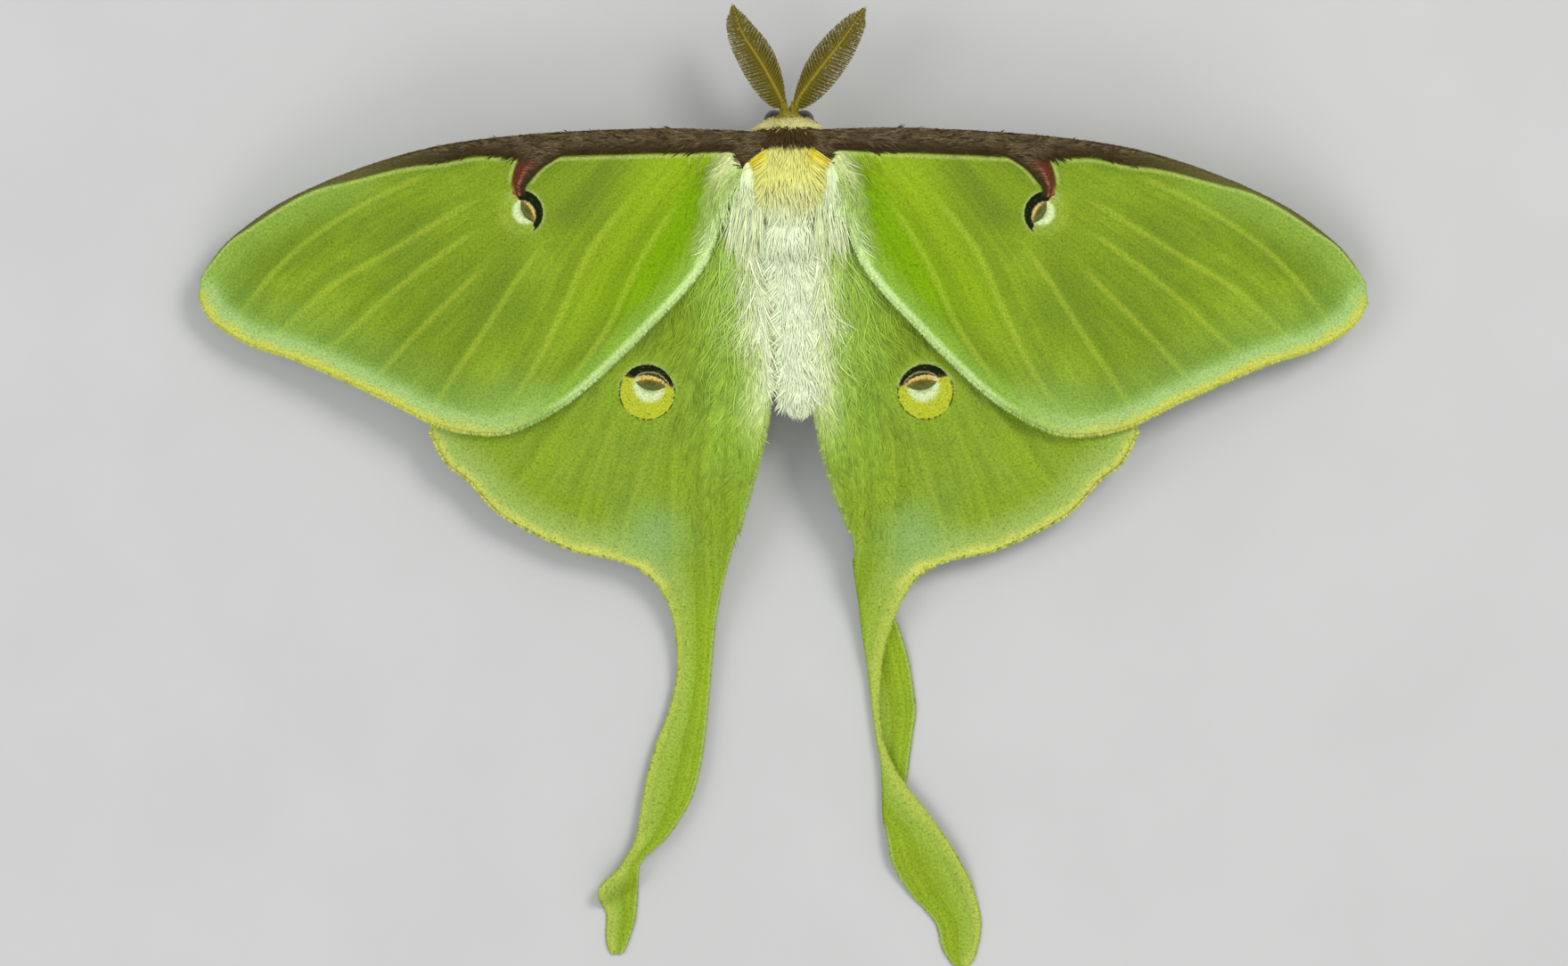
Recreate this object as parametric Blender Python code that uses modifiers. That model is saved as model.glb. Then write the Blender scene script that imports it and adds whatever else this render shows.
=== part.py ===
"""A luna moth at life size, a male with its wings spread and its two tails trailing.

The moth stands on a level surface at z = 0. Seen from above with the head up, +X is its right
hand side, +Y points from the tails to the head and +Z is up. The origin lies on the surface,
under the middle of the moth's box. Sizes below are in millimetres and are turned into metres
where a mesh is made.
"""

import math

import bmesh
import bpy
from mathutils import Matrix, Vector

MM = 0.001
NAME = "luna_moth"

# Walls and clearances
SHEET = 0.5            # thickness of a wing, tail or feeler
COSTA_THICKNESS = 1.2  # thickness of the forewing along its stiff front edge
COSTA_EDGE = 0.35      # share of that extra thickness left at the very edge
COSTA_SHARE = 0.16     # share of the chord, from the front edge, that is thicker than SHEET
COSTA_RISE, COSTA_FALL = 6.0, 1.15  # steepness of its front side, and where its rear side ends
COSTA_FADE_FROM, COSTA_FADE_TO = 0.54, 0.92  # shares of the span where that thickness fades out
GAP = 0.3              # room left between two parts that meet

# Trunk: it lies a little to the right of the middle between the wing tips
TRUNK_X = 0.45
THORAX_REAR, THORAX_FRONT = 23.4, 33.5
THORAX_HALF_WIDTH, THORAX_HALF_HEIGHT = 4.1, 3.9
THORAX_Z = 6.9
THORAX_LIFT = 0.7      # how far its front half rises above its rear half
THORAX_WIDE_BLUNT, THORAX_HIGH_BLUNT = 2.9, 2.5  # bluntness of its ends from above and the side
THORAX_REAR_TAPER = 0.1
ABDOMEN_TIP, ABDOMEN_FRONT = 6.7, 25.6
ABDOMEN_RADII = [(ABDOMEN_TIP, 1.75), (9.0, 1.95), (13.0, 2.15), (19.0, 2.55), (ABDOMEN_FRONT, 3.2)]
ABDOMEN_BLUNT = 5.0
ABDOMEN_HEIGHT = 0.95  # its height as a share of its width
ABDOMEN_Z = 6.7
ABDOMEN_LEAN, ABDOMEN_SAG = 0.8, 0.9  # how far its tip stands to the right, and hangs lower
HEAD_CENTRE = Vector((TRUNK_X, 32.6, 5.7))
HEAD_RADII = Vector((1.65, 1.6, 1.7))
CROWN_RISE, MOUTH_DROP = 0.5, 0.35  # how far the crown's tuft and the mouth pass those radii
MOUTH_NARROWING = 0.28
CROWN_AT, CROWN_REACH, MOUTH_REACH = 0.35, 1.3, 0.6  # where they lie, with 1 at the face end
EYE_RADIUS = 0.95
EYE_SIDE, EYE_Y, EYE_Z = 1.35, 32.95, 5.6

# Wings: outlines of the right hand side, from the root outwards
WING_LINE = 32.0       # y of the straight front edge near the root
ROOT_LEVEL = 9.6       # height of the forewing at its root
SPAN_DROOP = 0.0022    # fall of the wings with the square of the distance from the trunk
REAR_DROOP = 0.0035    # fall of the wings with the square of the distance behind the front edge
HIND_BELOW = 1.0       # the hindwing lies this far under the forewing
FOREWING_FRONT = [(1.2, 32.1), (11.5, 32.3), (24.6, 31.5), (34.2, 29.8),
                  (43.8, 26.1), (49.7, 22.1), (52.4, 18.6)]
FOREWING_REAR = [(1.2, 28.6), (4.7, 26.2), (7.1, 19.8), (12.2, 13.9), (18.2, 8.2), (22.6, 5.4),
                 (26.0, 4.5), (30.6, 5.2), (35.5, 7.5), (42.8, 10.7), (47.9, 12.4), (51.2, 14.4),
                 (52.6, 16.6)]
FOREWING_CROWDING = 1.6  # above one, the grid of a forewing is closer near its front edge
FOREWING_PIVOT = Vector((16.0, 30.0))
FOREWING_TURN = {-1: math.radians(0.7), 1: 0.0}  # the left one is set a little further forward
HINDWING_FRONT = [(3.0, 27.4), (8.0, 25.4), (16.0, 20.4), (24.0, 14.0), (30.6, 7.8), (32.0, 4.9)]
HINDWING_MARGIN = [(32.0, 4.9), (30.6, 2.2), (28.6, 0.6), (26.0, -2.2), (22.4, -4.3),
                   (18.8, -5.8), (15.2, -6.5), (12.9, -7.5), (11.5, -8.8), (10.8, -10.0)]
HINDWING_INNER_LEFT = [(2.4, 23.4), (1.1, 14.0), (1.1, 9.6), (1.4, 6.2), (2.2, 2.4), (3.9, -3.6),
                       (5.1, -7.9), (5.6, -10.0)]
HINDWING_INNER_RIGHT = [(2.4, 23.4), (2.4, 14.0), (2.4, 9.2), (2.9, 5.8), (4.1, 0.7), (5.9, -4.2),
                        (6.4, -7.6), (6.75, -10.0)]

# Tails: stations of (y, x of the left edge, x of the right edge)
TAIL_START = -10.3
TAIL_LEFT = [(-10.3, -10.6, -5.7), (-12.5, -10.0, -6.1), (-16.0, -9.7, -6.4), (-19.5, -10.3, -6.7),
             (-24.0, -11.9, -7.2), (-27.7, -12.8, -8.1), (-31.4, -13.4, -10.3),
             (-34.2, -14.9, -12.9), (-36.6, -16.9, -13.1), (-38.8, -16.1, -13.3),
             (-40.6, -16.2, -13.8), (-41.8, -15.9, -14.3), (-42.3, -15.5, -14.7)]
TAIL_RIGHT = [(-10.3, 6.8, 10.65), (-12.8, 7.1, 9.7), (-16.1, 7.6, 8.9), (-19.5, 8.0, 8.65),
              (-22.5, 8.4, 8.95), (-25.7, 8.9, 10.3), (-29.4, 9.0, 13.1), (-33.4, 9.5, 15.8),
              (-36.3, 11.0, 17.2), (-39.6, 13.7, 17.9), (-41.6, 14.2, 17.6), (-43.0, 15.1, 17.0),
              (-43.4, 15.6, 16.5)]
# Right tail: stations of (y, how far its folded part reaches under it from the left edge);
# below zero the ribbon is open, and lies the flatter the lower the number is
TAIL_RIGHT_UNDER = [(-10.3, 2.5), (-13.0, 3.5), (-16.5, 3.9), (-19.5, 4.0), (-22.2, 3.4),
                    (-24.8, 2.6), (-27.4, 2.0), (-31.2, -0.6), (-33.4, -1.8), (-43.4, -1.8)]
FOLD_RISE = 0.42       # half the distance between the two layers of a folded tail
FOLD_ROUND = 0.5       # roundness of that fold
FOLD_OPENS = (-1.8, -0.6)  # reaches between which an open ribbon rises towards its fold
FOLD_LEAVES = (-0.6, 0.2)  # reaches between which the fold moves off the middle of the grid
FOLD_COLUMN = 4 / 9    # share of the grid's width at which one of its columns runs along the fold
FOLD_CROWDING = 1.5    # above one, the other columns crowd towards that one
TAIL_CROWDING = 1.35   # above one, the rows of a tail crowd towards its rounded end
# Stations of (y, height of the upper layer's middle); the ends of the tails lie on the surface
TAIL_RIGHT_LEVEL = [(-10.3, 2.2), (-13.5, 1.55), (-18.0, 1.15), (-32.0, 1.12), (-36.5, 0.4),
                    (-38.0, 0.25), (-43.4, 0.25)]
TAIL_LEFT_LEVEL = [(-10.3, 2.2), (-13.5, 1.55), (-20.0, 1.15), (-28.0, 1.2), (-33.0, 1.5),
                   (-42.3, 1.6)]
CREASE_FROM, CREASE_TO = Vector((-13.2, -34.5)), Vector((-16.8, -36.7))
CREASE_DROP = 1.6      # length over which the left tail steps down behind its crease

# Antennae: the shaft of each, from the head to the tip
ANTENNA_LEFT = [(0.1, 34.0, 7.5), (-0.8, 35.8, 8.0), (-2.1, 38.1, 8.5), (-3.8, 40.8, 8.6),
                (-4.65, 43.35, 8.2)]
ANTENNA_RIGHT = [(0.9, 34.0, 7.5), (1.6, 35.3, 7.8), (3.0, 37.2, 8.4), (5.2, 40.0, 8.6),
                 (7.35, 43.1, 8.2)]
SHAFT_HALF_WIDTH = 0.23
# Comb on the outer and inner side: most reach beyond the shaft, and how it swells and tapers
COMB_OUTER = (1.85, 0.75, 0.6)
COMB_INNER = (1.5, 1.1, 0.8)
COMB_LIFT = 0.5        # how far the comb's edges stand above its shaft

# Legs of the right side, measured from the trunk's middle: hip, knee, ankle and toe
LEGS = {
    "front": [(1.5, 31.0, 4.2), (4.4, 31.2, 4.3), (5.9, 30.8, 1.0), (8.4, 31.3, 0.24)],
    "mid": [(1.7, 28.5, 3.9), (5.0, 28.2, 4.4), (7.2, 27.6, 1.0), (10.0, 27.0, 0.24)],
    "hind": [(1.6, 26.0, 4.2), (4.4, 24.0, 4.4), (6.2, 22.0, 1.0), (8.0, 19.6, 0.24)],
}
LEG_RADII = [0.72, 0.55, 0.42, 0.3]


# ---------------------------------------------------------------- curves and numbers

def spline_point(points, index, share):
    """A point on the Catmull-Rom curve between points[index] and the next one."""
    last = len(points) - 1
    p0, p1 = points[max(index - 1, 0)], points[index]
    p2, p3 = points[min(index + 1, last)], points[min(index + 2, last)]
    return 0.5 * (2 * p1 + (p2 - p0) * share + (2 * p0 - 5 * p1 + 4 * p2 - p3) * share ** 2
                  + (3 * p1 - p0 - 3 * p2 + p3) * share ** 3)


def even_curve(points, count, steps=24):
    """count points, evenly spaced along the smooth curve through the given points."""
    points = [Vector(p) for p in points]
    fine = [spline_point(points, i, k / steps) for i in range(len(points) - 1)
            for k in range(steps)] + [points[-1]]
    travelled = [0.0]
    for a, b in zip(fine, fine[1:]):
        travelled.append(travelled[-1] + (b - a).length)
    result = []
    place = 0
    for k in range(count):
        want = travelled[-1] * k / (count - 1)
        while place < len(fine) - 2 and travelled[place + 1] < want:
            place += 1
        part = (want - travelled[place]) / (travelled[place + 1] - travelled[place])
        result.append(fine[place].lerp(fine[place + 1], part))
    return result


def smoothstep(value):
    value = min(max(value, 0.0), 1.0)
    return value * value * (3 - 2 * value)


def between(limits, value):
    """A smooth rise from 0 at the lower limit to 1 at the upper one."""
    return smoothstep((value - limits[0]) / (limits[1] - limits[0]))


def along_stations(stations, y, column=1):
    """A column of the stations at the place y, on a smooth curve that doesn't overshoot."""
    ordered = sorted(stations)
    ys = [row[0] for row in ordered]
    values = [row[column] for row in ordered]
    y = min(max(y, ys[0]), ys[-1])
    at = max(i for i in range(len(ys) - 1) if ys[i] <= y)
    slopes = [(values[i + 1] - values[i]) / (ys[i + 1] - ys[i]) for i in range(len(ys) - 1)]

    def tangent(i):
        if i == 0 or i == len(ys) - 1:
            return slopes[min(i, len(slopes) - 1)]
        before, after = slopes[i - 1], slopes[i]
        return 0.0 if before * after <= 0 else 2 * before * after / (before + after)

    step = ys[at + 1] - ys[at]
    t = (y - ys[at]) / step
    return (values[at] * (2 * t ** 3 - 3 * t ** 2 + 1) + step * tangent(at) * (t ** 3 - 2 * t ** 2 + t)
            + values[at + 1] * (3 * t ** 2 - 2 * t ** 3) + step * tangent(at + 1) * (t ** 3 - t ** 2))


# ---------------------------------------------------------------- scene helpers

def new_collection(name):
    collection = bpy.data.collections.new(name)
    bpy.context.scene.collection.children.link(collection)
    return collection


def finish(name, colour, roughness):
    """A Principled material in one plain colour."""
    material = bpy.data.materials.new(name)
    material.use_nodes = True
    shader = material.node_tree.nodes["Principled BSDF"]
    shader.inputs["Base Color"].default_value = (*colour, 1.0)
    shader.inputs["Roughness"].default_value = roughness
    shader.inputs["Metallic"].default_value = 0.0
    material.diffuse_color = (*colour, 1.0)
    return material


def place_mesh(name, bm, collection, material):
    mesh = bpy.data.meshes.new(name)
    bm.to_mesh(mesh)
    bm.free()
    mesh.shade_smooth()
    obj = bpy.data.objects.new(name, mesh)
    collection.objects.link(obj)
    if material:
        mesh.materials.append(material)
    return obj


def cut_by(obj, *cutters):
    for cutter in cutters:
        boolean = obj.modifiers.new("clear of " + cutter.name, "BOOLEAN")
        boolean.operation = "DIFFERENCE"
        boolean.solver = "EXACT"
        boolean.object = cutter


def as_cutter(obj):
    obj.hide_render = True
    obj.display_type = "WIRE"
    return obj


# ---------------------------------------------------------------- round forms

def rounded_form(name, collection, material, shape, around=20, lengthways=12):
    """A ball whose vertices go to shape(t, angle): t runs from -1 to 1 from end to end."""
    bm = bmesh.new()
    bmesh.ops.create_uvsphere(bm, u_segments=around, v_segments=lengthways, radius=1.0)
    for vert in bm.verts:
        angle = math.atan2(-vert.co.y, vert.co.x)
        vert.co = Vector(shape(max(-1.0, min(1.0, vert.co.z)), angle)) * MM
    return place_mesh(name, bm, collection, material)


def blunt(t, power):
    """Half width of a blunt-ended form: 1 in its middle and 0 at t = -1 and 1."""
    return max(0.0, 1.0 - abs(t) ** power) ** (1.0 / power)


def thorax_shape(grow):
    def shape(t, angle):
        # Even steps of t along a ball crowd at its ends, which keeps the blunt ends round.
        t = math.sin(t * math.pi / 2)
        half_length = (THORAX_FRONT - THORAX_REAR) / 2 + grow
        y = (THORAX_FRONT + THORAX_REAR) / 2 + half_length * t
        width = (THORAX_HALF_WIDTH + grow) * blunt(t, THORAX_WIDE_BLUNT)
        width *= 1 - THORAX_REAR_TAPER * smoothstep(-t)
        height = (THORAX_HALF_HEIGHT + grow) * blunt(t, THORAX_HIGH_BLUNT)
        return (TRUNK_X + width * math.cos(angle), y,
                THORAX_Z + THORAX_LIFT * smoothstep(t) + height * math.sin(angle))
    return shape


def abdomen_shape(grow):
    def shape(t, angle):
        t = math.sin(t * math.pi / 2)
        half_length = (ABDOMEN_FRONT - ABDOMEN_TIP) / 2 + grow
        y = (ABDOMEN_FRONT + ABDOMEN_TIP) / 2 + half_length * t
        share = smoothstep((ABDOMEN_FRONT - y) / (ABDOMEN_FRONT - ABDOMEN_TIP))
        radius = (along_stations(ABDOMEN_RADII, y) + grow) * blunt(t, ABDOMEN_BLUNT)
        return (TRUNK_X + ABDOMEN_LEAN * share + radius * math.cos(angle), y,
                ABDOMEN_Z - ABDOMEN_SAG * share + ABDOMEN_HEIGHT * radius * math.sin(angle))
    return shape


def ellipsoid_shape(centre, radii):
    def shape(t, angle):
        ring = math.sqrt(1 - t * t)
        return (centre.x + radii.x * ring * math.cos(angle), centre.y + radii.y * t,
                centre.z + radii.z * ring * math.sin(angle))
    return shape


def head_shape(t, angle):
    """Face end at t = 1, with a tuft on the crown between the antennae and a narrow mouth below."""
    x, y, z = ellipsoid_shape(HEAD_CENTRE, HEAD_RADII)(t, angle)
    up = math.sin(angle)
    crown = smoothstep(up) * smoothstep(CROWN_REACH - abs(t - CROWN_AT))
    mouth = smoothstep(-up) * smoothstep(t + MOUTH_REACH)
    return (TRUNK_X + (x - TRUNK_X) * (1 - MOUTH_NARROWING * mouth), y,
            z + CROWN_RISE * crown - MOUTH_DROP * mouth)


# ---------------------------------------------------------------- thin sheets

def sheet(name, collection, material, rows, columns, place, thickness=SHEET, thick=None):
    """A grid laid out by place(along, across), made solid with its middle on that surface.

    thick(along, across) gives how much of the thickness a place gets; the least is SHEET.
    """
    bm = bmesh.new()
    bmesh.ops.create_grid(bm, x_segments=rows, y_segments=columns, size=1.0)
    bm.verts.ensure_lookup_table()
    shares = [((v.co.x + 1) / 2, (v.co.y + 1) / 2) for v in bm.verts]
    for vert, (along, across) in zip(bm.verts, shares):
        vert.co = Vector(place(along, across)) * MM
    obj = place_mesh(name, bm, collection, material)
    solid = obj.modifiers.new("thickness", "SOLIDIFY")
    solid.thickness = thickness * MM
    solid.offset = 0.0
    solid.use_quality_normals = True
    if thick:
        group = obj.vertex_groups.new(name="thick")
        for index, (along, across) in enumerate(shares):
            group.add([index], thick(along, across), "REPLACE")
        solid.vertex_group = group.name
        solid.thickness_vertex_group = SHEET / thickness
    return obj


def wing_level(x, y):
    return ROOT_LEVEL - SPAN_DROOP * x * x - REAR_DROOP * (WING_LINE - y) ** 2


def forewing(side, collection, material, body_cutter):
    rows, columns = 22, 9
    front = even_curve(FOREWING_FRONT, rows + 1)
    rear = even_curve(FOREWING_REAR, rows + 1)

    turn = Matrix.Rotation(FOREWING_TURN[side], 2)

    def place(along, across):
        index = round(along * rows)
        point = front[index].lerp(rear[index], across ** FOREWING_CROWDING)
        point = turn @ (point - FOREWING_PIVOT) + FOREWING_PIVOT
        return (side * point.x, point.y, wing_level(point.x, point.y))

    def costa(along, across):
        """The front edge is a rod: thickest just behind the edge, thinner towards the tip."""
        behind = across ** FOREWING_CROWDING / COSTA_SHARE
        rise = COSTA_EDGE + (1 - COSTA_EDGE) * smoothstep(COSTA_RISE * behind)
        fade = (COSTA_FADE_TO - along) / (COSTA_FADE_TO - COSTA_FADE_FROM)
        return smoothstep(COSTA_FALL - behind) * rise * smoothstep(fade)

    name = "forewing_right" if side > 0 else "forewing_left"
    wing = sheet(name, collection, material, rows, columns, place, COSTA_THICKNESS, costa)
    cut_by(wing, body_cutter)
    return wing


def hindwing(side, collection, material, cutters):
    front_rows, margin_rows, columns = 8, 14, 8
    rows = front_rows + margin_rows
    outer = even_curve(HINDWING_FRONT, front_rows + 1)[:-1] + even_curve(HINDWING_MARGIN,
                                                                         margin_rows + 1)
    inner = even_curve(HINDWING_INNER_RIGHT if side > 0 else HINDWING_INNER_LEFT, rows + 1)

    def place(along, across):
        index = round(along * rows)
        point = inner[index].lerp(outer[index], across)
        return (side * point.x, point.y, wing_level(point.x, point.y) - HIND_BELOW)

    name = "hindwing_right" if side > 0 else "hindwing_left"
    wing = sheet(name, collection, material, rows, columns, place)
    cut_by(wing, *cutters)
    return wing


def tail_y(along, end):
    """Where a row of a tail's grid lies."""
    return TAIL_START + (end - TAIL_START) * (1 - (1 - along) ** TAIL_CROWDING)


def tail_left(collection, material):
    end = TAIL_LEFT[-1][0]
    crease = (CREASE_TO - CREASE_FROM).normalized()
    behind = Vector((-crease.y, crease.x))

    def place(along, across):
        y = tail_y(along, end)
        left, right = along_stations(TAIL_LEFT, y, 1), along_stations(TAIL_LEFT, y, 2)
        x = left + (right - left) * across
        past = (Vector((x, y)) - CREASE_FROM).dot(behind)
        above = along_stations(TAIL_LEFT_LEVEL, y) - SHEET / 2
        return (x, y, SHEET / 2 + above * (1 - smoothstep(past / CREASE_DROP)))

    return sheet("tail_left", collection, material, 26, 5, place)


def tail_right(collection, material):
    end = TAIL_RIGHT[-1][0]

    def reach(distance):
        return math.hypot(distance, FOLD_ROUND)

    def distance_for(extent):
        """Way along the ribbon from its fold to where it reaches the extent sideways."""
        return math.sqrt(extent ** 2 - FOLD_ROUND ** 2)

    def place(along, across):
        y = tail_y(along, end)
        left, right = along_stations(TAIL_RIGHT, y, 1), along_stations(TAIL_RIGHT, y, 2)
        under = along_stations(TAIL_RIGHT_UNDER, y)
        first = -distance_for(FOLD_ROUND + under) if under > 0 else -under
        nearest = FOLD_ROUND if under > 0 else reach(first)
        last = distance_for(right - left + nearest)
        # One column of the grid runs along the fold, and the others crowd towards it.
        turn = (1 - between(FOLD_LEAVES, under)) * (first + (last - first) * FOLD_COLUMN)
        if across > FOLD_COLUMN:
            share, edge = (across - FOLD_COLUMN) / (1 - FOLD_COLUMN), last
        else:
            share, edge = (FOLD_COLUMN - across) / FOLD_COLUMN, first
        distance = turn + (edge - turn) * share ** FOLD_CROWDING
        drop = FOLD_RISE * (1 - distance / reach(distance)) * between(FOLD_OPENS, under)
        return (left + reach(distance) - nearest, y, along_stations(TAIL_RIGHT_LEVEL, y) - drop)

    return sheet("tail_right", collection, material, 30, 9, place)


def comb_reach(along, comb):
    """How far a comb stands out from its shaft at the share along of the shaft's length."""
    most, early, full = comb
    return most * max(0.0, math.sin(math.pi * along ** early)) ** full


def antenna(name, collection, material, side, shaft):
    """A feather-shaped feeler: a shaft with a comb on both sides, made as one thin leaf."""
    rows, columns = 16, 4
    middle = even_curve(shaft, rows + 1)

    def place(along, across):
        index = round(along * rows)
        ahead = middle[min(index + 1, rows)] - middle[max(index - 1, 0)]
        sideways = Vector((ahead.y, -ahead.x, 0.0)).normalized()
        share = 2 * across - 1
        comb = comb_reach(along, COMB_OUTER if share * side > 0 else COMB_INNER)
        point = middle[index] + sideways * share * (SHAFT_HALF_WIDTH + comb)
        return (point.x, point.y, point.z + COMB_LIFT * abs(share) * comb / COMB_OUTER[0])

    return sheet(name, collection, material, rows, columns, place)


# ---------------------------------------------------------------- legs

def leg(name, collection, material, side, joints, cutter):
    """A furred leg: a tapering tube whose foot is cut flat where it stands."""
    curve = bpy.data.curves.new(name + "_route", "CURVE")
    curve.dimensions = "3D"
    curve.bevel_depth = MM
    curve.bevel_resolution = 2
    curve.use_fill_caps = True
    count = 11
    route = even_curve([(TRUNK_X + side * x, y, z) for x, y, z in joints], count)
    spline = curve.splines.new("POLY")
    spline.points.add(count - 1)
    for index, (point, place) in enumerate(zip(spline.points, route)):
        share = index / (count - 1) * (len(LEG_RADII) - 1)
        low = min(int(share), len(LEG_RADII) - 2)
        point.co = (*(place * MM), 1.0)
        point.radius = LEG_RADII[low] + (LEG_RADII[low + 1] - LEG_RADII[low]) * (share - low)
    guide = bpy.data.objects.new(name + "_route", curve)
    collection.objects.link(guide)
    bpy.context.view_layer.update()
    tube = bpy.data.meshes.new_from_object(guide.evaluated_get(bpy.context.evaluated_depsgraph_get()))
    bpy.data.objects.remove(guide)
    bm = bmesh.new()
    bm.from_mesh(tube)
    bmesh.ops.remove_doubles(bm, verts=bm.verts, dist=0.00001)
    cut = bmesh.ops.bisect_plane(bm, geom=bm.verts[:] + bm.edges[:] + bm.faces[:],
                                 plane_co=(0, 0, 0), plane_no=(0, 0, 1), clear_inner=True)
    rim = [e for e in cut["geom_cut"] if isinstance(e, bmesh.types.BMEdge)]
    bmesh.ops.contextual_create(bm, geom=rim)
    bmesh.ops.recalc_face_normals(bm, faces=bm.faces)
    limb = place_mesh(name, bm, collection, material)
    limb.data.set_sharp_from_angle(angle=math.radians(50))
    cut_by(limb, cutter)
    return limb


# ---------------------------------------------------------------- the moth

def build():
    for obj in list(bpy.data.objects):
        bpy.data.objects.remove(obj, do_unlink=True)
    moth = new_collection(NAME)
    cutters = new_collection("cutters")

    fore_green = finish("forewing_scales", (0.30, 0.42, 0.07), 0.75)
    hind_green = finish("hindwing_scales", (0.27, 0.40, 0.09), 0.75)
    tail_green = finish("tail_scales", (0.30, 0.43, 0.07), 0.75)
    cream_fur = finish("thorax_fur", (0.68, 0.66, 0.20), 0.95)
    white_fur = finish("abdomen_fur", (0.72, 0.78, 0.58), 0.95)
    head_fur = finish("head_fur", (0.62, 0.58, 0.22), 0.95)
    eye_black = finish("eye_gloss", (0.02, 0.015, 0.01), 0.15)
    comb_gold = finish("antenna_gold", (0.20, 0.15, 0.02), 0.7)
    leg_maroon = finish("leg_fur", (0.16, 0.06, 0.05), 0.9)

    around_thorax = as_cutter(rounded_form("clear_thorax", cutters, None, thorax_shape(GAP)))
    around_abdomen = as_cutter(rounded_form("clear_abdomen", cutters, None, abdomen_shape(GAP),
                                            lengthways=16))
    head_room = Vector((EYE_SIDE + EYE_RADIUS, HEAD_RADII.y, HEAD_RADII.z + CROWN_RISE))
    head_room += Vector((GAP, GAP, GAP))
    around_head = as_cutter(rounded_form("clear_head", cutters, None,
                                         ellipsoid_shape(HEAD_CENTRE, head_room)))

    thorax = rounded_form("thorax", moth, cream_fur, thorax_shape(0.0))
    cut_by(thorax, around_head)
    abdomen = rounded_form("abdomen", moth, white_fur, abdomen_shape(0.0), lengthways=16)
    cut_by(abdomen, around_thorax)
    head = rounded_form("head", moth, head_fur, head_shape, around=18, lengthways=12)

    for side, word in ((-1, "left"), (1, "right")):
        centre = Vector((TRUNK_X + side * EYE_SIDE, EYE_Y, EYE_Z))
        ball = Vector((EYE_RADIUS,) * 3)
        rounded_form("eye_" + word, moth, eye_black, ellipsoid_shape(centre, ball), 14, 9)
        socket = rounded_form("socket_" + word, cutters, None,
                              ellipsoid_shape(centre, ball + Vector((GAP, GAP, GAP))), 14, 9)
        cut_by(head, as_cutter(socket))
        forewing(side, moth, fore_green, around_thorax)
        hindwing(side, moth, hind_green, (around_thorax, around_abdomen))
        for pair, joints in LEGS.items():
            leg(f"leg_{pair}_{word}", moth, leg_maroon, side, joints, around_thorax)

    antenna("antenna_left", moth, comb_gold, -1, ANTENNA_LEFT)
    antenna("antenna_right", moth, comb_gold, 1, ANTENNA_RIGHT)
    tail_left(moth, tail_green)
    tail_right(moth, tail_green)


build()
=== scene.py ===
import math
from itertools import product

import bpy
import numpy as np
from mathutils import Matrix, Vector, kdtree


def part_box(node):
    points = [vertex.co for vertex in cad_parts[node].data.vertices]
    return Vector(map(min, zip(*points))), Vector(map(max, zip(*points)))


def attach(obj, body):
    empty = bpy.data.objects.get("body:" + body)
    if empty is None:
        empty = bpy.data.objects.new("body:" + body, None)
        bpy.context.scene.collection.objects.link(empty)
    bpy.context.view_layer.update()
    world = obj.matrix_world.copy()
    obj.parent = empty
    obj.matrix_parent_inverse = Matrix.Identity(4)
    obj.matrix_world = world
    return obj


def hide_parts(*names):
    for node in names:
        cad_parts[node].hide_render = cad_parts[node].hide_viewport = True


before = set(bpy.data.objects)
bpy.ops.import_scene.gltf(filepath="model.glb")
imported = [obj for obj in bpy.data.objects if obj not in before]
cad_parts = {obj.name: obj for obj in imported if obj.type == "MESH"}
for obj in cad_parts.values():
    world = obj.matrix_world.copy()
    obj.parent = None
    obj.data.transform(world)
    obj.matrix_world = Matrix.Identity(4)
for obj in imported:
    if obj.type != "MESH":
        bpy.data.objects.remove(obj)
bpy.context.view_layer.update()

# The looks of a life-size luna moth, a male seen from straight above in the main view. Sizes are
# millimetres in the model's own frame: +X its right, +Y from the tails to the head, +Z up.
# Each wing is worked out as a right-hand one and mirrored for the left side (side = -1).
MM = 0.001
SIDES = ((-1, "left"), (1, "right"))

# ---------------------------------------------------------------- sizes shared with the solids

WING_LINE, ROOT_LEVEL = 32.0, 9.6
SPAN_DROOP, REAR_DROOP = 0.0022, 0.0035
HIND_BELOW = 1.0
FOREWING_FRONT = [(1.2, 32.1), (11.5, 32.3), (24.6, 31.5), (34.2, 29.8),
                  (43.8, 26.1), (49.7, 22.1), (52.4, 18.6)]
FOREWING_REAR = [(1.2, 28.6), (4.7, 26.2), (7.1, 19.8), (12.2, 13.9), (18.2, 8.2), (22.6, 5.4),
                 (26.0, 4.5), (30.6, 5.2), (35.5, 7.5), (42.8, 10.7), (47.9, 12.4), (51.2, 14.4),
                 (52.6, 16.6)]
FOREWING_PIVOT = np.array((16.0, 30.0))
FOREWING_TURN = {-1: math.radians(0.7), 1: 0.0}
HINDWING_FRONT = [(3.0, 27.4), (8.0, 25.4), (16.0, 20.4), (24.0, 14.0), (30.6, 7.8), (32.0, 4.9)]
HINDWING_MARGIN = [(32.0, 4.9), (30.6, 2.2), (28.6, 0.6), (26.0, -2.2), (22.4, -4.3),
                   (18.8, -5.8), (15.2, -6.5), (12.9, -7.5), (11.5, -8.8), (10.8, -10.0)]
HINDWING_INNER = {
    -1: [(2.4, 23.4), (1.1, 14.0), (1.1, 9.6), (1.4, 6.2), (2.2, 2.4), (3.9, -3.6), (5.1, -7.9),
         (5.6, -10.0)],
    1: [(2.4, 23.4), (2.4, 14.0), (2.4, 9.2), (2.9, 5.8), (4.1, 0.7), (5.9, -4.2), (6.4, -7.6),
        (6.75, -10.0)],
}
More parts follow.
